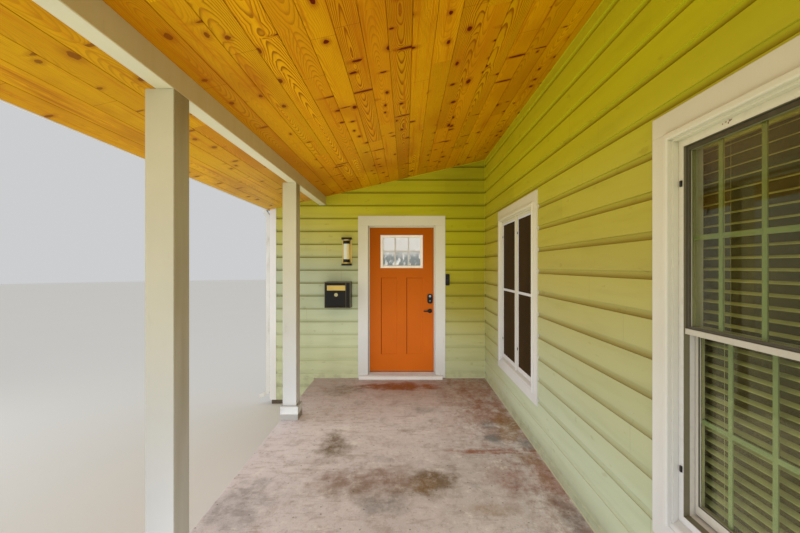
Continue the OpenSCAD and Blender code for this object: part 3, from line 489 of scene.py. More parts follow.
# Marks on the slab, in the order that they lie over each other: stain, X, Y, half sizes, strength
SLAB_MARKS = (
    ("damp", -0.57, 0.90, 0.09, 0.26, 0.8),
    ("damp", -0.52, 0.70, 0.15, 0.16, 0.5),
    ("damp", -0.62, 0.55, 0.20, 0.10, 0.25),
    ("rust", -0.20, 0.25, 0.40, 0.17, 0.35),
    ("damp", -0.12, 0.25, 0.46, 0.19, 0.4),
    ("damp", -0.10, 0.05, 0.34, 0.14, 0.3),
    ("damp", 0.27, 0.23, 0.17, 0.19, 0.8),
    ("ochre", 0.20, 0.18, 0.10, 0.07, 0.4),
    ("rust", -0.01, 2.56, 0.46, 0.15, 1.0),
    ("rust", -0.01, 2.58, 0.40, 0.12, 1.0),
    ("ochre", -0.01, 2.57, 0.42, 0.13, 0.4),
    ("damp", -0.70, 2.42, 0.24, 0.22, 0.55),
    ("rust", 0.92, 2.42, 0.20, 0.45, 0.45),
    ("slate", 0.85, 0.97, 0.10, 0.12, 0.85),
    ("slate", 1.12, 0.87, 0.07, 0.14, 0.8),
    ("slate", 0.33, 1.70, 0.16, 0.10, 0.4),
    ("ochre", 1.09, 1.35, 0.11, 0.38, 0.85),
    ("ochre", 1.00, 1.05, 0.09, 0.16, 0.6),
    ("ochre", 1.08, 0.60, 0.10, 0.14, 0.5),
    ("slate", 0.88, 1.30, 0.07, 0.10, 0.6),
    ("slate", 1.10, -0.20, 0.07, 0.16, 0.5),
    ("rust", 0.95, 1.75, 0.18, 0.40, 0.35),
    ("rust", 0.82, 0.71, 0.36, 0.045, 0.8),
    ("rust", 0.82, 0.32, 0.18, 0.22, 0.32),
    ("rust", 1.10, 0.30, 0.10, 0.50, 0.28),
    ("damp", 1.09, -0.15, 0.10, 0.30, 0.3),
    ("rust", 0.70, 1.95, 0.30, 0.30, 0.3),
    ("rust", 0.55, 1.30, 0.20, 0.30, 0.2),
    ("slate", 1.12, -0.60, 0.10, 0.50, 0.25),
    ("rust", 0.98, -0.75, 0.20, 0.70, 0.08),
    ("ochre", 0.64, -0.11, 0.14, 0.08, 0.5),
    ("slate", -0.08, -0.06, 0.20, 0.12, 0.45),
    ("slate", -1.00, -0.05, 0.20, 0.30, 0.4),
    ("rust", -0.60, 1.60, 0.40, 0.30, 0.15),
)


def worn_concrete(name, paints):
    """Sealed grey-brown concrete with stains, mottling and worn patches"""
    f = Finish(name, IOR=1.45, Specular_IOR_Level=0.35)
    pale, dark, rust = paints.concrete, paints.concrete_dark, paints.rust_stain
    # Painted light: big runs higher towards the open side at negative X, so the mottling there is paler
    big = f.noise(0.8, 6, (1, 0.7, 1), 0.6) + f.x.step(0.2, -1.0) * 0.25
    medium = f.noise(5.5, 9, (1, 0.7, 1), 0.7)
    small = f.noise(23, 8, (1, 0.8, 1), 0.75)
    fine = f.noise(95, 5, roughness=0.7)
    patchy = f.noise(11, 8, (1, 0.7, 1), 0.75).step(0.36, 0.6) * 0.6 + 0.4
    wallward = f.x + f.y * 0.14
    by_wall = wallward.step(0.55, 1.15)

    # Mottling of the whole slab, lighter towards the open side as painted light, warmer by the house wall
    # and darker at its far end
    f.base = f.mix(big.step(0.3, 0.8), shade(pale, 0.92), shade(pale, 1.1))
    f.coat(medium.step(0.5, 0.72) * 0.5, dark)
    f.coat(medium.step(0.45, 0.3) * 0.6, shade(pale, 1.18))
    f.coat(small.step(0.52, 0.7) * 0.46, shade(dark, 0.85))
    f.coat(small.step(0.45, 0.32) * 0.45, shade(pale, 1.25))
    mottled = f.noise(4.2, 8, (1, 0.6, 1), 0.72).step(0.48, 0.62)
    f.coat(mottled * wallward.step(0.4, 1.2) * 0.52, rust)
    f.coat(f.noise(17, 6, (1, 0.8, 1), 0.75).step(0.5, 0.6) * by_wall * 0.38, shade(rust, 0.7))
    f.coat(f.noise(6.5, 6, (1.5, 0.7, 1), 0.7).step(0.54, 0.64) * by_wall * 0.45, paints.ochre_stain)
    f.coat((f.y + big * 0.8).step(1.7, 3.2) * 0.5, f.mix(patchy, paints.damp_stain, rust))
    f.coat(f.noise(13, 8, (0.4, 1.3, 1), 0.75).step(0.5, 0.64) * 0.34, shade(dark, 0.95))
    f.coat(f.noise(2.9, 9, (1.3, 1, 1), 0.7).step(0.56, 0.66) * 0.22, paints.slate_stain)
    reach, ragged = 1.4, 1.7
    for stain, x, y, half_x, half_y, strength in SLAB_MARKS:
        mark = f.near((x, y, SLAB_TOP), (half_x * reach, half_y * reach, 1.0), ragged)
        f.coat(mark * patchy * strength, getattr(paints, stain + "_stain"))

    # Grains, specks, one pale line across and the dirty edges
    f.coat(fine.step(0.56, 0.72) * 0.45, shade(dark, 0.7))
    f.coat(fine.step(0.42, 0.3) * 0.3, shade(pale, 1.3))
    specks = f.add("TexVoronoi", {"voronoi_dimensions": "2D"}, Vector=f.place, Scale=7.0).outputs
    some = f.split(Value(f, specks["Color"]), "Color")[0] > 0.55
    f.coat(Value(f, specks["Distance"]).step(0.05, 0.03) * some * 0.6, shade(dark, 0.55))
    line = abs(f.y + (f.noise(3, 5) - 0.5) * 0.12 - 0.70).step(0.004, 0.001) * f.x.step(0.72, 0.85)
    f.coat(line * 0.6, shade(pale, 1.2))
    side = f.z.step(SLAB_TOP - 0.02, SLAB_TOP - 0.2)
    f.coat(side * 0.75, paints.foundation)
    f.coat(side * (medium * 0.8), paints.grime_and_shade)
    return f.close(medium * 0.4 + 0.38, fine * 0.4 + (small * 0.6 + line * -1.0), 0.0024, 0.7)


def rough_concrete(name, paints):
    """Foundation concrete with soil splashed over its foot"""
    f = Finish(name)
    f.base = f.mix(f.noise(3, 6), shade(paints.foundation, 0.82), shade(paints.foundation, 1.1))
    soil = (f.z + (f.noise(5, 5) - 0.5) * 0.16).step(0.16, 0.02)
    f.coat(soil * 0.85, paints.grime_and_shade)
    return f.close(0.9, f.noise(45, 6), 0.004, 0.8)


def timber(name, colour, along):
    """Bare sawn timber or plywood, with its grain along one axis"""
    f = Finish(name)
    grain = f.noise(1, 4, [4 if axis == along else 60 for axis in range(3)], 0.6)
    f.base = f.mix(grain, shade(colour, 0.82), shade(colour, 1.08))
    f.coat(f.noise(2, 3) * 0.4, shade(colour, 0.75))
    return f.close(0.8, grain, 0.001, 0.6)


def wall_board(name, paints):
    """Cut face of the walls: painted board with faint taped joints"""
    f = Finish(name)
    core = paints.wall_core
    f.base = f.mix(f.noise(1.4, 4), shade(core, 0.96), shade(core, 1.03))
    along = ((f.x + f.y) / WALL_BOARD).fract()
    f.coat(abs(along - 0.5).step(0.012, 0.002) * 0.18, shade(core, 0.8))
    return f.close(0.75, f.noise(160, 3), 0.0006, 0.6)


def shingles(name, paints):
    """Mineral granules in mixed greys, with streaks down the slope"""
    f = Finish(name)
    grains = f.add("TexVoronoi", None, Vector=f.place, Scale=420.0).outputs
    grey = f.split(Value(f, grains["Color"]), "Color")[0]
    clouds = f.noise(6, 5)
    f.base = f.mix(grey, shade(paints.shingle, 0.6), shade(paints.shingle, 1.5))
    f.coat(clouds.step(0.45, 0.6) * 0.5, shade(paints.shingle, 0.75))
    f.coat(f.noise(2.5, 4, (0.25, 2.0, 0.25)).step(0.5, 0.75) * 0.4, shade(paints.shingle, 0.5))
    return f.close(0.92, Value(f, grains["Distance"]) + clouds * 0.5, 0.0018, 0.8)


def window_vinyl(name, face, high, *depths):
    """Window vinyl: a pale face that turns to a second colour towards the ceiling as painted light and
    shade, and another colour between the depths given
    """
    f = Finish(name, IOR=1.45)
    clouds = f.noise(7, 4)
    f.base = f.mix(f.z.step(0.9, 2.6), face, high)
    f.tint(clouds * 0.4, (0.93, 0.92, 0.90))
    for start, end, colour in depths:
        f.coat((f.x > start) * (f.x < end) * 0.9, colour)
    f.coat(f.noise(40, 5).step(0.5, 0.72) * 0.12, (0.5, 0.46, 0.36))
    return f.close(clouds * 0.14 + 0.32, f.noise(300, 2), 0.0002, 0.4)


def frame_vinyl(name, paints):
    """Window frames, with painted shade in their tracks and paler behind them"""
    start, middle = SIDING_X + 0.0225, SIDING_X + 0.047
    return window_vinyl(
        name, paints.cream, paints.cream_shaded_high,
        (start, middle, paints.window_track_shade), (middle, SIDING_X + 0.2, paints.window_sash),
    )


def sash_vinyl(name, paints):
    """Sashes, with a dark gasket behind the face of each"""
    lower = SASH_X + SASH_STEP
    return window_vinyl(
        name, paints.window_sash, (0.60, 0.58, 0.40),
        (SASH_X + 0.004, SASH_X + 0.013, paints.window_gasket),
        (lower + 0.007, lower + 0.013, paints.window_gasket),
    )


def sheet_metal(name, colour, dirt_and_shade, metallic=0.0, roughness=0.4, brushed=(1, 1, 1), spotted=0.3):
    """Enamelled, plated or bare sheet metal with faint ripples, dust and painted shade in its corners"""
    f = Finish(name, Metallic=metallic)
    f.base = f.mix(f.noise(5, 5), shade(colour, 0.93), shade(colour, 1.05))
    f.coat(f.noise(18, 6, brushed).step(0.5, 0.75) * spotted, dirt_and_shade)
    # Painted shade in corners, found by ambient occlusion
    f.coat(f.corners(0.03).step(0.7, 0.2) * 0.4, shade(dirt_and_shade, 0.8))
    rough = f.noise(30, 4, brushed) * 0.22 + (roughness - 0.1)
    return f.close(rough, f.noise(40, 3, brushed), 0.0004)


def moulded(name, colour, roughness=0.4, speckle=0.0):
    """Plastic, vinyl or rubber with a fine moulded texture"""
    f = Finish(name)
    clouds = f.noise(7, 4)
    f.base = f.mix(clouds, shade(colour, 0.94), shade(colour, 1.06))
    f.coat(f.noise(40, 5).step(0.5, 0.72) * (0.12 + speckle), (0.5, 0.47, 0.42))
    return f.close(clouds * 0.14 + (roughness - 0.07), f.noise(300, 2), 0.0002, 0.4)


def glazing(name, tint, mirror):
    """Clear glass that lets lamp light through to what is behind it, with faint wiping streaks"""
    f = Finish(name, IOR=1.45, Transmission_Weight=1.0, Specular_Tint=linear(mirror))
    f.base = f.mix(f.noise(2.5, 4, (1, 1, 0.35)).step(0.35, 0.7), tint, shade(tint, 0.94))
    through = f.value("BsdfTransparent", Color=linear(tint))
    lamp_ray = f.value("LightPath", "Is Shadow Ray")
    both = f.add("MixShader", None, Fac=lamp_ray)
    f.feed(both.inputs[1], Value(f, f.shader.outputs[0]))
    f.feed(both.inputs[2], through)
    f.tree.links.new(both.outputs[0], f.tree.nodes["Material Output"].inputs["Surface"])
    return f.close(f.noise(5, 5).step(0.5, 0.8) * 0.06)


def door_glass(name, paints):
    """Door glass whose colour is painted reflection: pale in its upper half, grey-green below, with painted
    highlights on the ripples of the lower half
    """
    f = Finish(name, Transmission_Weight=0.2, IOR=1.45)
    low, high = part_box("door_light_glass")
    upper_reflection = (f.z + (f.noise(14, 4) - 0.5) * 0.12).step(low.z + 0.08, high.z - 0.15)
    ripple = f.noise(22, 4, (1, 1, 0.5))
    f.base = f.mix(upper_reflection, paints.door_glass_reflection_low, paints.door_glass_reflection_high)
    # Painted highlights on the ripples of the lower half
    f.coat(ripple.step(0.52, 0.66) * (1.0 - upper_reflection), (0.92, 0.94, 0.93))
    return f.close(ripple * 0.1 + 0.06, ripple, 0.0008, 0.3)


def woven_screen(name, paints):
    """Charcoal insect mesh: dark threads with a browner look between them"""
    f = Finish(name, Specular_IOR_Level=0.15)
    across, down = (f.math("SINE", place * THREAD_WAVES) for place in (f.y, f.z))
    threads = f.math("MAXIMUM", across, down)
    sag = f.noise(2.5, 3, (1, 1, 0.4)).step(0.3, 0.75)
    f.base = f.mix(sag, paints.screen, shade(paints.screen, 1.35))
    f.coat(threads.step(0.7, 1.0) * 0.35, shade(paints.screen, 1.6))
    return f.close(0.7, threads, 0.0004)


def opal(name):
    """Opal glass with a faint painted glow, warmer as painted light towards one side"""
    f = Finish(name, Emission_Strength=0.05, Subsurface_Weight=0.2)
    low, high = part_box("wall_light_tube")
    # Painted warm light on the side towards the house wall
    warm = (f.x + f.noise(9, 3) * 0.012).step(low.x + 0.03, high.x + 0.01)
    f.base = f.mix(warm, (0.79, 0.81, 0.71), (0.86, 0.77, 0.46))
    # Painted glow: the unlit glass gives off a little light in its own colour
    f.feed(f.shader.inputs["Emission Color"], f.base)
    return f.close(0.22, f.noise(16, 2), 0.0005, 0.3)


class PorchPaints(bpy.types.PropertyGroup):
    """Colours of the porch, as a screen shows them"""

    def shown(name, description, default):
        return FloatVectorProperty(
            name=name, description=description, default=default,
            subtype="COLOR_GAMMA", size=3, min=0.0, max=1.0,
        )

    siding: shown("Siding", "Green paint of the siding boards at eye height", (0.65, 0.61, 0.22))
    # Painted light and shade: yellower siding paint under the ceiling
    siding_shaded_high: shown("Upper siding", "Siding paint under the ceiling", (0.70, 0.68, 0.09))
    # Painted light: paler siding paint near the slab
    siding_lit_low: shown("Lower siding", "Siding paint bleached near the slab", (0.665, 0.705, 0.59))
    # Painted shade in the hollows between the boards; also the colour of the joints and of random spots
    siding_shade_and_joints: shown("Siding coves", "Dark of the hollows between the boards", (0.46, 0.385, 0.03))
    # Painted shade in the coves of the door's wall
    siding_cove_shade_wing: shown("Wing siding coves", "Dark of the coves on the door's wall", (0.38, 0.37, 0.07))
    trim: shown("White trim", "Paint of the sill, corner boards and fascia", (0.92, 0.92, 0.91))
    cream: shown("Cream trim", "Paint of the posts and casings near the slab", (0.79, 0.80, 0.80))
    # Painted light and shade: yellower trim paint under the ceiling
    cream_shaded_high: shown("Upper cream trim", "Trim paint under the ceiling", (0.80, 0.78, 0.63))
    # Painted shade on the sides of the trim that face the house wall
    cream_shaded_side: shown("Inner cream trim", "Tint of trim that faces the house wall", (0.80, 0.75, 0.66))
    # Dirt of the trim, also used as painted shade in its corners
    trim_dirt_and_shade: shown("Trim dirt", "Grime in the corners of the trim", (0.55, 0.50, 0.40))
    door: shown("Door", "Orange paint of the door leaf", (0.81, 0.415, 0.12))
    # Painted shade: darker door paint at its head
    door_shaded_high: shown("Upper door", "Door paint at its shaded head", (0.62, 0.305, 0.0))
    stain_pale: shown("Pale stain", "Stained wood between the rings", (0.97, 0.74, 0.02))
    stain_deep: shown("Deep stain", "Stained wood in the dark of the rings", (0.62, 0.34, 0.0))
    stain_red: shown("Red stain", "Boards that took the stain redder", (0.83, 0.54, 0.02))
    knot: shown("Knots", "Knots of the ceiling boards", (0.38, 0.08, 0.0))
    concrete: shown("Concrete", "Worn concrete of the slab", (0.86, 0.845, 0.88))
    foundation: shown("Foundation", "Bare concrete of the foundation and slab edges", (0.60, 0.575, 0.545))
    concrete_dark: shown("Dark concrete", "Darker patches of the slab", (0.61, 0.54, 0.52))
    damp_stain: shown("Damp stain", "Dark olive stains on the slab", (0.43, 0.35, 0.22))
    rust_stain: shown("Rust stain", "Red-brown stains on the slab", (0.57, 0.29, 0.11))
    ochre_stain: shown("Ochre stain", "Yellow-brown stains on the slab", (0.58, 0.45, 0.26))
    slate_stain: shown("Slate stain", "Grey-blue patches on the slab", (0.47, 0.48, 0.51))
    grime_and_shade: shown("Grime", "Soil on the foundation and slab edges", (0.34, 0.28, 0.21))
    wall_core: shown("Wall core", "Cut faces and inner side of the walls", (0.85, 0.84, 0.81))
    shingle: shown("Shingles", "Granules of the roof covering", (0.36, 0.34, 0.33))
    screen: shown("Screens", "Mesh of the insect screens", (0.15, 0.105, 0.035))
    # Painted shade in the tracks of the window frames
    window_track_shade: shown("Window tracks", "Inner sides of the window frames", (0.37, 0.34, 0.21))
    window_sash: shown("Window sashes", "Faces of the sashes", (0.78, 0.77, 0.73))
    window_gasket: shown("Window gaskets", "Gaskets round the glass", (0.16, 0.14, 0.07))
    grille: shown("Window bars", "Bars of the wide window", (0.58, 0.65, 0.55))
    # Painted shade: darker, yellower bars under the ceiling
    grille_shaded_high: shown("Upper window bars", "Bars of the wide window under the ceiling", (0.44, 0.46, 0.18))
    blind: shown("Blind", "Slats of the blind", (0.76, 0.78, 0.63))
    # Painted light and shade: yellower slats under the ceiling
    blind_shaded_high: shown("Upper blind", "Slats of the blind under the ceiling", (0.74, 0.68, 0.30))
    # Painted reflection on the door's glass: pale in its upper half, darker in its lower half
    door_glass_reflection_high: shown("Upper door glass", "Upper half of the door's glass", (0.87, 0.88, 0.87))
    door_glass_reflection_low: shown("Lower door glass", "Lower half of the door's glass", (0.44, 0.49, 0.49))


class PorchSizes(bpy.types.PropertyGroup):
    """Sizes of the details that the frame leaves to this file"""

    def length(name, description, default, low, high):
        return FloatProperty(
            name=name, description=description, default=default,
            min=low, max=high, unit="LENGTH", subtype="DISTANCE", precision=4,
        )

    board_length: length("Board length", "Length of a ceiling board between its joints", 3.66, 1.0, 6.0)
    knot_gap: length("Knot spacing", "Mean distance between knots", 0.20, 0.1, 1.0)
    ring_gap: length("Ring spacing", "Distance between growth rings", 0.0066, 0.003, 0.02)
    tab_width: length("Shingle tab", "Width of a shingle's tab", 0.305, 0.15, 0.5)
    tab_course: length("Shingle course", "Height that a course of shingles shows", 0.140, 0.10, 0.20)
    nail_gap: length("Nail spacing", "Distance between siding nails", 0.406, 0.2, 0.8)
    bar_pitch: length("Window bar spacing", "Distance between the wide window's bars", 0.182, 0.1, 0.4)
    bar_width: length("Window bar width", "Width of a window bar", 0.020, 0.01, 0.04)
    door_bar: length("Door bar width", "Width of a bar in the door's light", 0.018, 0.01, 0.04)
    slat_pitch: length("Slat spacing", "Distance between the blind's slats", 0.0425, 0.015, 0.06)
    soften: length("Softened edges", "Rounding of the edges of wooden trim", 0.0018, 0.0, 0.005)


class PorchView(bpy.types.PropertyGroup):
    """Camera, floor and backdrop"""

    eye: FloatVectorProperty(
        name="Eye", description="Place of the camera", default=(0.0725, -2.725, 1.909),
        subtype="TRANSLATION", unit="LENGTH", size=3,
    )
    shift: FloatProperty(
        name="Shift", description="Sideways shift of the picture, as a share of its width",
        default=-0.0071, min=-0.05, max=0.05,
    )
    lens: FloatProperty(
        name="Lens", description="Focal length for a sensor 36 mm wide",
        default=18.45, min=10.0, max=80.0, unit="CAMERA",
    )
    floor: FloatVectorProperty(
        name="Floor", description="Colour of the studio floor",
        default=(0.93, 0.93, 0.92), subtype="COLOR_GAMMA", size=3, min=0.0, max=1.0,
    )
    backdrop: FloatVectorProperty(
        name="Backdrop", description="Colour behind the porch",
        default=(0.80, 0.805, 0.81), subtype="COLOR_GAMMA", size=3, min=0.0, max=1.0,
    )
    light: FloatProperty(
        name="Sky light", description="Strength of the even light from all sides",
        default=0.65, min=0.0, max=4.0,
    )


def recipes(p, sizes):
    """Each finish: its maker, then what the maker takes after the name"""
    return {
        "worn_concrete": (worn_concrete, p),
        "foundation": (rough_concrete, p),
        "wall_core": (wall_board, p),
        "green_siding": (siding_paint, p),
        "white_trim": (painted, p.trim, p.trim_dirt_and_shade),
        # Copies of the cream trim paint, lighter or darker as painted light and shade: darker on the posts,
        # lighter on the beam and the door's casing
        "cream_paint": (trim, p, 1.0, 1.02, 1.0),
        "post_paint": (trim, p, 0.94, 0.99, 0.9),
        "beam_paint": (trim, p, 1.0, 1.09, 1.14),
        "door_trim_paint": (trim, p, 1.07, 1.0, 1.0),
        "stained_pine": (stained_pine, p, sizes),
        "raw_timber": (timber, (0.80, 0.68, 0.48), 0),
        "roof_sheathing": (timber, (0.74, 0.62, 0.43), 1),
        "shingle": (shingles, p),
        "gutter_metal": (sheet_metal, (0.88, 0.88, 0.86), p.trim_dirt_and_shade, 0.0, 0.35, (1, 1, 0.2)),
        "sill_metal": (sheet_metal, (0.90, 0.92, 0.95), p.grime_and_shade, 0.0, 0.55, (0.05, 1, 1), 0.2),
        "hinge_metal": (sheet_metal, (0.55, 0.53, 0.50), p.grime_and_shade, 1.0, 0.38),
        "orange_paint": (orange_paint, p),
        "light_frame": (moulded, (0.92, 0.89, 0.80)),
        "clear_glass": (door_glass, p),
        "black_metal": (
            sheet_metal, (0.05, 0.046, 0.035), (0.20, 0.19, 0.15), 0.0, 0.36, (1, 1, 1), 0.12,
        ),
        "white_vinyl": (frame_vinyl, p),
        "screen_white": (moulded, p.cream, 0.36),
        "sash_vinyl": (sash_vinyl, p),
        "window_glass": (glazing, (0.90, 0.91, 0.80), (0.80, 0.76, 0.55)),
        "screen_mesh": (woven_screen, p),
        "blind_vinyl": (window_vinyl, p.blind, p.blind_shaded_high),
        "lamp_brass": (
            sheet_metal, (0.90, 0.79, 0.44), (0.52, 0.42, 0.16), 0.5, 0.34, (1, 1, 0.1), 0.2,
        ),
        "pale_brass": (sheet_metal, (0.80, 0.77, 0.58), (0.50, 0.44, 0.24), 0.4, 0.36),
        "opal_glass": (opal,),
        "black_plastic": (moulded, (0.055, 0.052, 0.05)),
        # Painted shade: a dark board that stands for the unlit room behind each window
        "dark_room": (moulded, (0.28, 0.24, 0.10), 0.8),
        "rubber": (moulded, (0.14, 0.11, 0.09), 0.7),
        "bar_green": (window_vinyl, p.grille, p.grille_shaded_high),
        "bar_grey": (moulded, (0.76, 0.75, 0.69), 0.45),
        # Painted highlights: the mailbox's rims are lighter than its black body
        "edge_metal": (
            sheet_metal, (0.52, 0.49, 0.36), (0.50, 0.44, 0.28), 0.4, 0.3, (1, 1, 1), 0.4,
        ),
        "bead": (moulded, (0.80, 0.81, 0.70), 0.6, 0.1),
        "old_primer": (moulded, (0.42, 0.19, 0.11), 0.8),
        "pale_button": (moulded, (0.62, 0.64, 0.66), 0.25),
    }


# The CAD nodes that each finish covers
NODE_FINISH = {
    "worn_concrete": ["slab"],
    "foundation": ["foundation"],
    "wall_core": ["house_wall", "wing_wall_left", "wing_wall_right", "wing_wall_header"],
    "green_siding": ["house_siding", "wing_siding"],
    "white_trim": ["corner_boards", "fascia", "door_sill"],
    "cream_paint": ["door_frame", "window_casings"],
    "post_paint": ["posts", "post_bases"],
    "beam_paint": ["beam"],
    "door_trim_paint": ["door_casing"],
    "stained_pine": ["ceiling_boards"],
    "raw_timber": ["rafters"],
    "roof_sheathing": ["roof_deck"],
    "shingle": ["roof_covering"],
    "gutter_metal": ["gutter", "downspout"],
    "sill_metal": ["door_threshold"],
    "hinge_metal": ["hinge_barrels", "hinge_leaves"],
    "orange_paint": ["door_leaf"],
    "light_frame": ["door_light_frame"],
    "clear_glass": ["door_light_glass"],
    "black_metal": [
        "deadbolt", "lever_roses", "lever_handle", "wall_light_frame", "mailbox_body", "mailbox_door",
    ],
    "white_vinyl": ["window_frames"],
    "screen_white": ["screen_frames"],
    "sash_vinyl": ["window_sashes"],
    "window_glass": ["window_panes"],
    "screen_mesh": ["window_screens"],
    "blind_vinyl": ["window_blind"],
    "lamp_brass": ["wall_light_plate", "mailbox_flap"],
    "opal_glass": ["wall_light_tube"],
    "black_plastic": ["doorbell"],
}

# The CAD nodes whose sharp edges are rounded a little
SOFTENED = (
    "posts", "post_bases", "beam", "door_casing", "window_casings", "corner_boards", "fascia",
    "door_leaf", "door_sill", "door_frame", "mailbox_body", "mailbox_door", "wall_light_frame",
    "doorbell",
)


def settings():
    """The porch's three groups of settings"""
    scene = bpy.context.scene
    return scene.porch_paints, scene.porch_sizes, scene.porch_view


def finish_of(name):
    """The named material, made on its first use"""
    full_name = "porch_" + name
    found = bpy.data.materials.get(full_name)
    if found:
        return found
    paints, sizes, _ = settings()
    maker, *values = recipes(paints, sizes)[name]
    return maker(full_name, *values)


class Shape:
    """Gathers the faces of one piece, in metres in the row frame"""

    def __init__(self):
        self.mesh = bmesh.new()

    def faces_on(self, verts, finish):
        """Gives the faces round these corners one of the piece's finishes, by number"""
        for face in {f for v in verts for f in v.link_faces}:
            face.material_index = finish

    def box(self, low, high, rounded=0.0, finish=0):
        """A box between two corners, with rounded edges where asked"""
        verts = bmesh.ops.create_cube(self.mesh, size=1.0)["verts"]
        for v in verts:
            v.co = Vector([lo + (c + 0.5) * (hi - lo) for c, lo, hi in zip(v.co, low, high)])
        self.faces_on(verts, finish)
        if rounded:
            edges = list({e for v in verts for e in v.link_edges})
            bmesh.ops.bevel(
                self.mesh, geom=edges, offset=rounded, segments=2, profile=0.5,
                affect="EDGES", clamp_overlap=True,
            )

    def prism(self, outline, start, end):
        """An outline in X and Z, run along Y"""
        near, far = ([self.mesh.verts.new((x, y, z)) for x, z in outline] for y in (start, end))
        self.mesh.faces.new(near)
        self.mesh.faces.new(far[::-1])
        for i in range(len(outline)):
            j = (i + 1) % len(outline)
            self.mesh.faces.new((near[i], far[i], far[j], near[j]))

    def bridge(self, rings, steps):
        """Faces between one ring and the next; a ring of one point closes to a tip"""
        for a, b in zip(rings, rings[1:]):
            for k in range(steps):
                j = (k + 1) % steps
                corners = [a[k % len(a)], a[j % len(a)], b[j % len(b)], b[k % len(b)]]
                self.mesh.faces.new(list(dict.fromkeys(corners)))
        for ring in (rings[0], rings[-1]):
            if len(ring) > 2:
                self.mesh.faces.new(ring)

    def lathe(self, profile, centre, axis, steps=24, finish=0):
        """A profile of [radius, place along the axis], turned round an axis through the centre"""
        others = [i for i in range(3) if i != axis]
        rings = []
        for radius, along in profile:
            ring = []
            for k in range(steps if radius else 1):
                angle = 2 * math.pi * k / steps
                co = list(centre)
                co[axis] += along
                co[others[0]] += radius * math.cos(angle)
                co[others[1]] += radius * math.sin(angle)
                ring.append(self.mesh.verts.new(co))
            rings.append(ring)
        self.bridge(rings, steps)
        self.faces_on([v for r in rings for v in r], finish)

    def rod(self, start, end, radius, steps=8):
        """A straight round rod between two points"""
        start, end = Vector(start), Vector(end)
        way = (end - start).normalized()
        side = way.orthogonal().normalized()
        up = way.cross(side)
        turns = [2 * math.pi * k / steps for k in range(steps)]
        around = [radius * (side * math.cos(t) + up * math.sin(t)) for t in turns]
        self.bridge([[self.mesh.verts.new(point + a) for a in around] for point in (start, end)], steps)

    def screw(self, centre, axis, way, radius=0.0045):
        """A low domed screw head that stands on a face, its slot cut across"""
        rise = radius * 0.35 * way
        seat = rise * 0.55
        profile = [
            (radius, 0), (radius * 0.8, rise * 0.8), (radius * 0.35, rise),
            (radius * 0.3, seat), (0, seat),
        ]
        self.lathe(profile, centre, axis, 12)

    def piece(self, name, finishes, slot, body="root", smooth=32):
        """Ends the shape as one object that rides on a CAD body"""
        bmesh.ops.recalc_face_normals(self.mesh, faces=self.mesh.faces)
        mesh = bpy.data.meshes.new(name)
        self.mesh.to_mesh(mesh)
        self.mesh.free()
        mesh.shade_smooth()
        mesh.set_sharp_from_angle(angle=math.radians(smooth))
        for finish in finishes:
            mesh.materials.append(finish_of(finish))
        obj = bpy.data.objects.new(name, mesh)
        bpy.context.scene.collection.objects.link(obj)
        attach(obj, body)
        return obj


# The stage's lamps: place, point each faces, width, height, power
LAMPS = {
    "lamp_side": ((-6.5, -1.0, 1.7), (0.4, 0.6, 1.7), 5.0, 2.4, 60),
    "lamp_front": ((-0.6, -30.0, 3.0), (0.0, 1.0, 1.9), 11.0, 6.0, 3500),
    "lamp_down": ((0.1, -0.2, 2.68), (0.1, -0.2, 0.4), 1.4, 4.4, 16),
    "lamp_ceiling": ((-0.2, -0.3, 0.42), (-0.2, -0.3, 3.0), 2.0, 4.6, 42),
}
FLOOR_RADIUS = 60.0


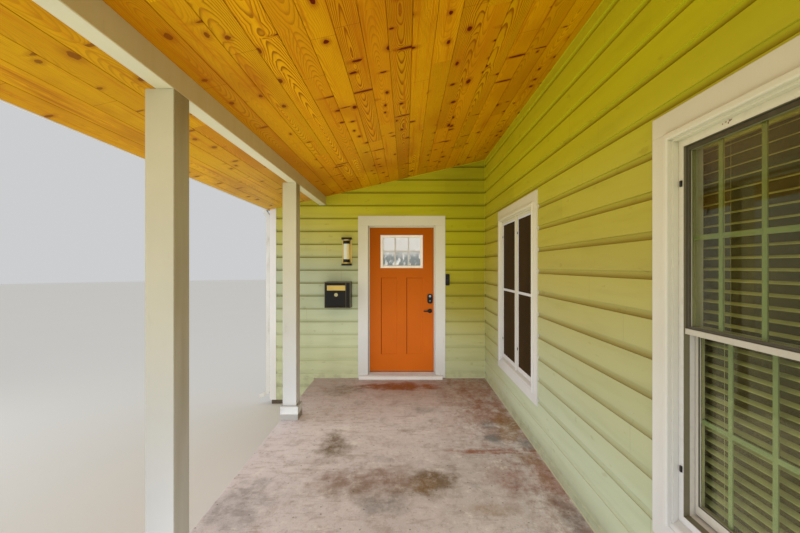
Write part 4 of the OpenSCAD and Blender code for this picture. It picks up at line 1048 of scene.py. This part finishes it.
class PORCH_OT_stage(bpy.types.Operator):
    """Add the camera, the floor, the even sky light and the soft lamps"""

    bl_idname = "porch.stage"
    bl_label = "Studio"

    def execute(self, context):
        view = context.scene.porch_view
        self.camera(context, view)
        self.sky(context, view)
        self.floor(context, view)
        for name, lamp in LAMPS.items():
            self.lamp(context, name, *lamp)
        context.scene.view_settings.view_transform = "Standard"
        return {"FINISHED"}

    def camera(self, context, view):
        data = bpy.data.cameras.new("camera")
        data.lens = view.lens
        data.sensor_width = 36.0
        data.shift_x = view.shift
        data.clip_start = 0.02
        data.clip_end = 200.0
        camera = bpy.data.objects.new("camera", data)
        camera.location = view.eye
        camera.rotation_euler = (math.radians(90), 0.0, 0.0)
        context.scene.collection.objects.link(camera)
        context.scene.camera = camera

    def sky(self, context, view):
        """Even light for the porch, and a plain backdrop where a ray looks past it"""
        world = bpy.data.worlds.new("sky")
        context.scene.world = world
        world.use_nodes = True
        tree = world.node_tree
        tree.nodes.clear()
        rays = tree.nodes.new("ShaderNodeLightPath").outputs
        seen = rays["Is Camera Ray"]
        for kind in ("Is Glossy Ray", "Is Transmission Ray"):
            more = tree.nodes.new("ShaderNodeMath")
            more.operation = "MAXIMUM"
            tree.links.new(seen, more.inputs[0])
            tree.links.new(rays[kind], more.inputs[1])
            seen = more.outputs[0]
        mix = tree.nodes.new("ShaderNodeMixShader")
        tree.links.new(seen, mix.inputs[0])
        lights = (((1.0, 0.985, 0.96, 1.0), view.light), (linear(view.backdrop), 1.0))
        for socket, (colour, strength) in zip(mix.inputs[1:], lights):
            light = tree.nodes.new("ShaderNodeBackground")
            light.inputs["Color"].default_value = colour
            light.inputs["Strength"].default_value = strength
            tree.links.new(light.outputs[0], socket)
        tree.links.new(mix.outputs[0], tree.nodes.new("ShaderNodeOutputWorld").inputs[0])

    def floor(self, context, view):
        f = Finish("studio_floor")
        f.base = f.mix(f.noise(0.6, 2), shade(view.floor, 0.99), view.floor)
        mesh = bpy.data.meshes.new("floor")
        turns = [2 * math.pi * k / 64 for k in range(64)]
        rim = [(FLOOR_RADIUS * math.cos(t), FLOOR_RADIUS * math.sin(t), -0.001) for t in turns]
        mesh.from_pydata(rim, [], [list(range(64))])
        mesh.materials.append(f.close(0.9))
        floor = bpy.data.objects.new("floor", mesh)
        context.scene.collection.objects.link(floor)

    def lamp(self, context, name, place, aim, width, height, power):
        data = bpy.data.lights.new(name, "AREA")
        data.shape = "RECTANGLE"
        data.size = width
        data.size_y = height
        data.energy = power
        lamp = bpy.data.objects.new(name, data)
        lamp.location = place
        lamp.rotation_euler = (Vector(aim) - Vector(place)).to_track_quat("-Z", "Y").to_euler()
        lamp.visible_camera = False
        lamp.visible_glossy = False
        context.scene.collection.objects.link(lamp)


class PORCH_OT_finishes(bpy.types.Operator):
    """Give every CAD node its finish and soften the edges of the wooden trim and small fittings"""

    bl_idname = "porch.finishes"
    bl_label = "Finishes"

    def execute(self, context):
        dressed = set()
        for finish, names in NODE_FINISH.items():
            for name in names:
                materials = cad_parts[name].data.materials
                materials.clear()
                materials.append(finish_of(finish))
                dressed.add(name)
        left = sorted(set(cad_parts) - dressed)
        if left:
            raise RuntimeError(f"these nodes have no finish: {left}")
        for name in SOFTENED:
            self.soften(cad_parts[name], context.scene.porch_sizes.soften)
        return {"FINISHED"}

    def soften(self, obj, width):
        weld = obj.modifiers.new("weld", "WELD")
        weld.merge_threshold = 0.00001
        bevel = obj.modifiers.new("soften", "BEVEL")
        bevel.width = width
        bevel.segments = 2
        bevel.limit_method = "ANGLE"
        bevel.angle_limit = math.radians(50)
        bevel.harden_normals = False


class PORCH_OT_roof(bpy.types.Operator):
    """Lay the roof covering as courses of separate shingle tabs over a base sheet"""

    bl_idname = "porch.roof"
    bl_label = "Shingles"

    def execute(self, context):
        sizes = context.scene.porch_sizes
        low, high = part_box("roof_covering")
        slope = math.tan(PITCH)
        up = 1 / math.cos(PITCH)
        sheet, tab = 0.006 * up, 0.0066 * up
        gap, stagger, narrowest, uneven = 0.004, 0.02, 0.02, 0.0012

        def deck(x):
            return low.z + (x - low.x) * slope

        shape = Shape()
        edges = [(x, deck(x)) for x in (low.x, high.x)]
        shape.prism(edges + [(x, z + sheet) for x, z in edges[::-1]], low.y, high.y)
        chance = random.Random(7)
        step = sizes.tab_course * math.cos(PITCH)
        x = low.x
        row = 0
        while x < high.x - narrowest:
            x1 = min(x + step, high.x)
            foot, head = deck(x) + sheet, deck(x1) + sheet
            y = low.y - (row % 2) * sizes.tab_width / 2 - (row % 3) * stagger
            while y < high.y:
                y0, y1 = max(y + gap / 2, low.y), min(y + sizes.tab_width - gap / 2, high.y)
                thick = tab + chance.uniform(-uneven, 0.0)
                side = [(x, foot), (x, foot + thick), (x1, head + thick * 0.3), (x1, head)]
                if y1 - y0 > narrowest:
                    shape.prism(side, y0, y1)
                y += sizes.tab_width
            x = x1
            row += 1
        roof = shape.piece("roof_shingles", ["shingle"], "shingle", smooth=20)
        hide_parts("roof_covering")
        return {"FINISHED"}


class PORCH_OT_siding(bpy.types.Operator):
    """Add the siding's nail heads, its caulk lines and the bead where it meets the slab"""

    bl_idname = "porch.siding"
    bl_label = "Siding details"

    def execute(self, context):
        self.nails(context.scene.porch_sizes.nail_gap)
        self.caulk()
        self.bead()
        return {"FINISHED"}

    def nails(self, gap):
        """A row of nail heads along each course, kept clear of the openings and the ceiling"""
        windows = solids("window_casings")
        door_low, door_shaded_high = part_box("door_casing")
        clear = 0.02
        nails = Shape()
        for course in range(1, int((CEILING_HIGH.z - SIDING_FOOT) / COURSE_H)):
            z = SIDING_FOOT + course * COURSE_H + NAIL_RISE
            if z < SLAB_TOP + 0.01:
                continue
            y = WALL_END + 0.12
            while y < SIDING_Y - 0.1:
                hidden = any(
                    lo.y - clear < y < hi.y + clear and lo.z - clear < z < hi.z + clear
                    for lo, hi in windows
                )
                if not hidden and z < ceiling_z(SIDING_X) - clear:
                    self.nail(nails, (SIDING_X, y, z), 0)
                y += gap
            x = WING_END + 0.08
            while x < SIDING_X - 0.05:
                hidden = door_low.x - clear < x < door_shaded_high.x + clear and z < door_shaded_high.z + clear
                if not hidden and z < ceiling_z(x) - 0.03:
                    self.nail(nails, (x, SIDING_Y, z), 1)
                x += gap
        nails.piece("siding_nails", ["green_siding"], "green_siding")

    def nail(self, shape, centre, axis):
        shape.lathe([(0.0042, 0), (0.0034, -0.0005), (0, -0.0007)], centre, axis, 10)

    def caulk(self):
        """Lines where the siding meets the ceiling, and in the corner between the walls"""
        sunk = 0.001
        x, y = SIDING_X - sunk, SIDING_Y - sunk
        top = ceiling_z(SIDING_X) - sunk
        caulk = Shape()
        for start, end in (
            ((x, WALL_END, top), (x, SIDING_Y, top)),
            ((BEAM_HIGH.x, y, ceiling_z(BEAM_HIGH.x) - sunk), (SIDING_X, y, top)),
            ((x, y, SLAB_TOP + 0.01), (x, y, ceiling_z(SIDING_X) - 0.01)),
        ):
            caulk.rod(start, end, 0.004)
        caulk.piece("siding_caulk", ["green_siding"], "green_siding")

    def bead(self):
        """Old sealant along the foot of the house wall and on both sides of the door"""
        x, y, z = SIDING_X + 0.001, SIDING_Y + 0.001, SLAB_TOP + 0.003
        door_low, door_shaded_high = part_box("door_casing")
        bead = Shape()
        bead.rod((x, WALL_END, z), (x, SIDING_Y, z), 0.006)
        for x0, x1 in ((WING_END, door_low.x), (door_shaded_high.x, SIDING_X)):
            bead.rod((x0, y, z), (x1, y, z), 0.006)
        bead.piece("slab_bead", ["bead"], "cream_paint")


class PORCH_OT_gutter(bpy.types.Operator):
    """Add the gutter's hangers and the screws of the downspout's straps"""

    bl_idname = "porch.gutter"
    bl_label = "Gutter details"

    def execute(self, context):
        low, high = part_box("gutter")
        x, top = low.x + 0.002, high.z - 0.007
        shape = Shape()
        for y in spaced(low.y + 0.2, high.y - 0.2, 9):
            shape.box((x, y - 0.012, top - 0.003), (high.x, y + 0.012, top), 0.0008)
        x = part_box("corner_boards")[0].x - STRAP_FACE
        for z in STRAPS:
            for side in (-0.0224, 0.0224):
                shape.screw((x, SIDING_Y + 0.048 + side, z + 0.014), 0, -1, 0.004)
        shape.piece("gutter_hangers", ["gutter_metal"], "gutter_metal")
        return {"FINISHED"}


class PORCH_OT_door(bpy.types.Operator):
    """Add the bars of the door's light, the seals, the lock's parts and the screws"""

    bl_idname = "porch.door"
    bl_label = "Door details"

    def execute(self, context):
        self.bars(context.scene.porch_sizes.door_bar / 2)
        self.seals()
        self.lock()
        self.plates()
        self.screws()
        return {"FINISHED"}

    def bars(self, half):
        """Two upright bars and one cross bar on each face of the light's glass"""
        low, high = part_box("door_light_glass")
        z = (low.z + high.z) / 2
        outer, inner = 0.009, 0.0003
        bars = Shape()
        for y0, y1 in ((low.y - outer, low.y - inner), (high.y + inner, high.y + outer)):
            for share in (0.323, 0.677):
                x = low.x + share * (high.x - low.x)
                bars.box((x - half, y0, low.z), (x + half, y1, high.z), 0.0015)
            bars.box((low.x, y0 + 0.0008, z - half), (high.x, y1 - 0.0008, z + half), 0.0015)
        bars.piece("door_light_bars", ["bar_grey"], "light_frame", "door")

    def seals(self):
        """The seal on the frame's stop, round three sides of the leaf, and the sweep under the leaf"""
        side = 0.012
        y0, y1 = LEAF_LOW.y - 0.0048, LEAF_LOW.y - 0.0006
        x0, x1 = LEAF_LOW.x - LEAF_GAP, LEAF_HIGH.x + LEAF_GAP
        foot, top = LEAF_LOW.z, LEAF_HIGH.z + LEAF_GAP
        strip = Shape()
        strip.box((x0, y0, foot), (x0 + side, y1, top), 0.001)
        strip.box((x1 - side, y0, foot), (x1, y1, top), 0.001)
        strip.box((x0 + side, y0, top - side), (x1 - side, y1, top), 0.001)
        strip.piece("door_seal", ["rubber"], "black_plastic")
        sweep = Shape()
        sweep.box(
            (LEAF_LOW.x + 0.002, LEAF_LOW.y + 0.004, foot - 0.0052),
            (LEAF_HIGH.x - 0.002, LEAF_HIGH.y - 0.006, foot - 0.0002), 0.001,
        )
        sweep.piece("door_sweep", ["rubber"], "black_plastic", "door")

    def lock(self):
        """The key disc with its slot, and the plain round button above it"""
        low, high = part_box("deadbolt")
        x, z, face = (low.x + high.x) / 2, (low.z + high.z) / 2, low.y
        disc = (x, face, z - 0.030)
        half_slot = 0.0042
        trim = Shape()
        trim.lathe([(0.0225, 0.0055), (0.0225, 0.0), (0.0195, -0.0012), (0.0185, 0.0004)], disc, 1, 40)
        trim.lathe([(0.0085, 0.0), (0.0085, -0.0016), (0.006, -0.0022), (0, -0.0022)], disc, 1, 24, 1)
        trim.box(
            (x - 0.0006, face - 0.0032, disc[2] - half_slot),
            (x + 0.0006, face - 0.0021, disc[2] + half_slot), finish=2,
        )
        button = [(0.016, 0.0005), (0.016, -0.0012), (0.0135, -0.002), (0, -0.002)]
        trim.lathe(button, (x, face + 0.006, z + 0.036), 1, 32, 1)
        trim.piece("lock_trim", ["black_metal", "pale_button", "rubber"], "black_metal", "door")

    def plates(self):
        """Plates of latch and bolt on the leaf's edge, and the plates that take them on the jamb"""
        low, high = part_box("deadbolt")
        heights = (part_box("lever_roses")[0].z + ROSE_RADIUS, (low.z + high.z) / 2)
        y = (LEAF_LOW.y + LEAF_HIGH.y) / 2
        edge, jamb = LEAF_HIGH.x, LEAF_HIGH.x + LEAF_GAP
        for name, body, x0, x1, half in (
            ("lock_faceplates", "door", edge - 0.0002, edge + 0.0012, 0.0125),
            ("strike_plates", "root", jamb - 0.0012, jamb + 0.0004, 0.014),
        ):
            plates = Shape()
            for z in heights:
                plates.box((x0, y - half, z - PLATE_HALF), (x1, y + half, z + PLATE_HALF), 0.0005)
            plates.piece(name, ["hinge_metal"], "hinge_metal", body)

    def screws(self):
        """Screws of the hinges, on the leaf and on the jamb, and of the threshold"""
        on_leaf, on_jamb = Shape(), Shape()
        for low, high in solids("hinge_leaves"):
            z = (low.z + high.z) / 2
            for y in (LEAF_LOW.y + 0.014, LEAF_HIGH.y - 0.012):
                on_leaf.screw((LEAF_LOW.x - 0.002, y, z), 0, -1, 0.0036)
                for side in (-0.0335, 0.0335):
                    on_jamb.screw((LEAF_LOW.x - 0.003, y, z + side), 0, 1, 0.0036)
        on_leaf.piece("hinge_screws", ["hinge_metal"], "hinge_metal", "door")
        low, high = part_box("door_threshold")
        for x in spaced(low.x + 0.08, high.x - 0.08, 5):
            on_jamb.screw((x, low.y + 0.019, low.z + 0.0046), 2, 1, 0.004)
        on_jamb.piece("frame_screws", ["sill_metal"], "sill_metal")


class PORCH_OT_windows(bpy.types.Operator):
    """Add the wide window's bars and paint chips, the frames' clips and a board of painted shade behind the
    glass
    """

    bl_idname = "porch.windows"
    bl_label = "Window details"

    def execute(self, context):
        sizes = context.scene.porch_sizes
        self.bars(sizes.bar_pitch, sizes.bar_width / 2)
        self.rooms()
        self.clips()
        self.chips()
        return {"FINISHED"}

    def bars(self, pitch, half):
        """A grid of bars behind each pane of the wide window, which is the one at negative Y"""
        bars = Shape()
        for low, high in solids("window_panes"):
            if low.y > 0:
                continue
            y, z = (low.y + high.y) / 2, (low.z + high.z) / 2
            count = int((high.y - low.y) / pitch)
            side = (count - 1) / 2 * pitch
            x0, x1 = high.x + 0.0004, high.x + 0.0064
            for y in spaced(y - side, y + side, count):
                bars.box((x0, y - half, low.z), (x1, y + half, high.z), 0.001)
            bars.box((x0 + 0.0004, low.y, z - half), (x1 - 0.0004, high.y, z + half), 0.001)
        bars.piece("window_bars", ["bar_green"], "white_vinyl")

    def rooms(self):
        """A dark board of painted shade, standing for the unlit room, closes each window's hole just inside
        the wall's back
        """
        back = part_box("house_wall")[1].x
        margin = 0.012
        boards = Shape()
        for low, high in solids("window_frames"):
            boards.box(
                (back - 0.0018, low.y - margin, low.z - margin),
                (back - 0.0012, high.y + margin, high.z + margin),
            )
        boards.piece("window_room_shade_boards", ["dark_room"], "black_plastic")

    def clips(self):
        """Black clips at the inner edges of the frames"""
        clips = Shape()
        for low, high in solids("window_frames"):
            x0, x1 = low.x - 0.006, low.x + 0.001
            for z in (low.z + 0.225, high.z - 0.186):
                for y in (low.y + 0.028, high.y - 0.028):
                    clips.box((x0, y - 0.007, z - 0.013), (x1, y + 0.007, z + 0.013), 0.003)
        clips.piece("window_clips", ["black_plastic"], "black_plastic")

    def chips(self):
        """Old primer that shows through at the end of the wide window's head"""
        chance = random.Random(3)
        low, high = solids("window_frames")[0]
        chips = Shape()
        for _ in range(9):
            y = chance.uniform(-1.317, -1.268)
            z = chance.uniform(high.z - 0.024, high.z - 0.014)
            r = chance.uniform(0.0014, 0.0034)
            chips.lathe([(r, 0), (r * 0.7, -0.0004), (0, -0.0004)], (low.x, y, z), 0, 7)
        chips.piece("window_paint_chips", ["old_primer"], "cream_paint")


class PORCH_OT_blind(bpy.types.Operator):
    """Hang the blind: head rail, open slats, ladder cords and bottom rail"""

    bl_idname = "porch.blind"
    bl_label = "Blind"

    def execute(self, context):
        pitch = context.scene.porch_sizes.slat_pitch
        low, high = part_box("window_blind")
        head_rail, rail, head_room = 0.034, 0.016, 0.05
        tilt = math.radians(24)
        shape = Shape()
        shape.box((low.x, low.y, high.z - head_rail), (high.x, high.y, high.z), 0.002)
        shape.box((low.x + 0.002, low.y, low.z), (high.x - 0.002, high.y, low.z + rail), 0.002)
        middle = (low.x + high.x) / 2
        half = (high.x - low.x) / 2 - 0.002
        z = low.z + rail + pitch / 2
        while z < high.z - head_room:
            shape.prism(self.slat(middle, z, half, tilt), low.y + 0.004, high.y - 0.004)
            z += pitch
        for share in (0.14, 0.5, 0.86):
            y = low.y + share * (high.y - low.y)
            for x in (middle - half - 0.0012, middle + half + 0.0006):
                shape.rod((x, y, low.z + 0.012), (x, y, high.z - 0.03), 0.0008, 5)
        blind = shape.piece("blind_slats", ["blind_vinyl"], "blind_vinyl")
        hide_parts("window_blind")
        return {"FINISHED"}

    def slat(self, x, z, half, tilt):
        """Section of a thin slat, crowned across its width"""
        count = 6
        crown, thick = 0.0012, 0.0014
        upper, lower = [], []
        for k in range(count + 1):
            t = -1 + 2 * k / count
            across, rise = t * half, crown * (1 - t * t)
            px = x + across * math.cos(tilt) - rise * math.sin(tilt)
            pz = z + across * math.sin(tilt) + rise * math.cos(tilt)
            upper.append((px, pz + thick / 2))
            lower.append((px, pz - thick / 2))
        return lower + upper[::-1]


class PORCH_OT_wall_light(bpy.types.Operator):
    """Add the rims at the ends of the wall light's tube, its cap discs and the plate's screws"""

    bl_idname = "porch.wall_light"
    bl_label = "Wall light details"

    def execute(self, context):
        low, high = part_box("wall_light_tube")
        frame_low, frame_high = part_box("wall_light_frame")
        x, y, r = (low.x + high.x) / 2, (low.y + high.y) / 2, (high.x - low.x) / 2
        shape = Shape()
        for z, way in ((low.z, 1), (high.z, -1)):
            rim = [(r + 0.0046, -0.001), (r + 0.0046, 0.003), (r + 0.0012, 0.0042), (r + 0.0004, 0.0)]
            shape.lathe([(radius, along * way) for radius, along in rim], (x, y, z), 2, 48)
        for z, way in ((frame_high.z, 1), (frame_low.z, -1)):
            disc = [(0.007, -0.0004 * way), (0.007, -0.0002 * way), (0.0, -0.0002 * way)]
            shape.lathe(disc, (x, y, z), 2, 20)
        shape.piece("wall_light_rims", ["black_metal"], "black_metal")
        brass = Shape()
        plate_low, plate_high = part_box("wall_light_plate")
        for z in (low.z + 0.03, high.z - 0.03):
            for x in (plate_low.x + 0.012, plate_high.x - 0.012):
                brass.screw((x, SIDING_Y - 0.008, z), 1, -1)
        brass.piece("wall_light_screws", ["lamp_brass"], "lamp_brass")
        return {"FINISHED"}


class PORCH_OT_mailbox(bpy.types.Operator):
    """Add the mailbox's lock, the bead along its flap, and the rims round its front, lighter as painted
    highlights
    """

    bl_idname = "porch.mailbox"
    bl_label = "Mailbox details"

    def execute(self, context):
        self.lock()
        low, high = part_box("mailbox_flap")
        bead = Shape()
        y, z = low.y + 0.0010, low.z + 0.004
        bead.rod((low.x + 0.004, y, z), (high.x - 0.004, y, z), 0.0026)
        bead.piece("mailbox_flap_bead", ["lamp_brass"], "lamp_brass", "mailbox_flap")
        low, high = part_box("mailbox_body")
        y = high.y - MAILBOX_DEPTH - 0.0005
        rim = 0.004
        # The rims are paler than the box: painted highlights along its edges and down its side band
        rims = Shape()
        for z in (low.z + rim, high.z - rim):
            rims.rod((low.x + rim, y, z), (high.x - rim, y, z), rim * 0.7)
        for x in (low.x + rim, high.x - rim, high.x - 0.060):
            rims.rod((x, y, low.z + rim), (x, y, high.z - rim), rim * 0.7)
        rims.piece("mailbox_rims", ["edge_metal"], "black_metal")
        return {"FINISHED"}

    def lock(self):
        """A round disc with a slot and a dark ring, on the mailbox's front door"""
        low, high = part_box("mailbox_door")
        x, y, z = (low.x + high.x) / 2, low.y, high.z - 0.033
        lock = Shape()
        ring = [(0.0285, 0.0049), (0.0285, 0.0), (0.0255, -0.001), (0.0245, 0.0004)]
        lock.lathe(ring, (x, y, z), 1, 40)
        lock.lathe([(0.0240, 0.0002), (0.0240, -0.0004), (0.0, -0.0010)], (x, y, z), 1, 32, 1)
        lock.box((x - 0.0008, y - 0.0016, z - 0.006), (x + 0.0008, y - 0.0006, z + 0.006), finish=2)
        lock.piece("mailbox_lock", ["black_metal", "pale_brass", "rubber"], "black_metal", "mailbox_door")


class PORCH_OT_doorbell(bpy.types.Operator):
    """Add the doorbell's button, its ring and its upper lens"""

    bl_idname = "porch.doorbell"
    bl_label = "Doorbell details"

    def execute(self, context):
        low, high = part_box("doorbell")
        x, y, z = (low.x + high.x) / 2, low.y + 0.0008, low.z + 0.042
        shape = Shape()
        ring = [(0.0205, 0.0004), (0.0205, 0.0), (0.017, 0.0), (0.0165, 0.0006)]
        shape.lathe(ring, (x, y, z), 1, 40, 1)
        shape.lathe([(0.014, 0.0004), (0.014, 0.0), (0, 0.0)], (x, y - 0.0002, z), 1, 32)
        lens = [(0.013, 0.0006), (0.0125, 0.0), (0.0, 0.0)]
        shape.lathe(lens, (x, y, high.z - 0.034), 1, 32)
        shape.piece("doorbell_button", ["black_plastic", "pale_button"], "black_plastic")
        return {"FINISHED"}


class PORCH_PT_panel(bpy.types.Panel):
    """Lists the porch's settings and its steps in the 3D view's sidebar"""

    bl_idname = "PORCH_PT_panel"
    bl_label = "Entrance porch"
    bl_space_type = "VIEW_3D"
    bl_region_type = "UI"
    bl_category = "Porch"

    def draw(self, context):
        for title, group in zip(("Colours", "Sizes", "View"), settings()):
            box = self.layout.box()
            box.label(text=title)
            for name in group.__annotations__:
                box.prop(group, name)
        for step in STEPS:
            self.layout.operator(step.bl_idname)


STEPS = (
    PORCH_OT_stage, PORCH_OT_finishes, PORCH_OT_roof, PORCH_OT_siding, PORCH_OT_gutter,
    PORCH_OT_door, PORCH_OT_windows, PORCH_OT_blind, PORCH_OT_wall_light, PORCH_OT_mailbox,
    PORCH_OT_doorbell,
)
GROUPS = {"porch_paints": PorchPaints, "porch_sizes": PorchSizes, "porch_view": PorchView}


def register():
    """Adds the porch's settings, steps and panel to Blender"""
    for cls in (*GROUPS.values(), *STEPS, PORCH_PT_panel):
        bpy.utils.register_class(cls)
    for name, group in GROUPS.items():
        setattr(bpy.types.Scene, name, PointerProperty(type=group))


def unregister():
    """Takes away all that register() added"""
    for name in GROUPS:
        delattr(bpy.types.Scene, name)
    for cls in (PORCH_PT_panel, *reversed(STEPS), *GROUPS.values()):
        bpy.utils.unregister_class(cls)


def main():
    """Builds the whole porch"""
    register()
    for step in STEPS:
        group, name = step.bl_idname.split(".")
        getattr(getattr(bpy.ops, group), name)()


if __name__ == "__main__":
    main()
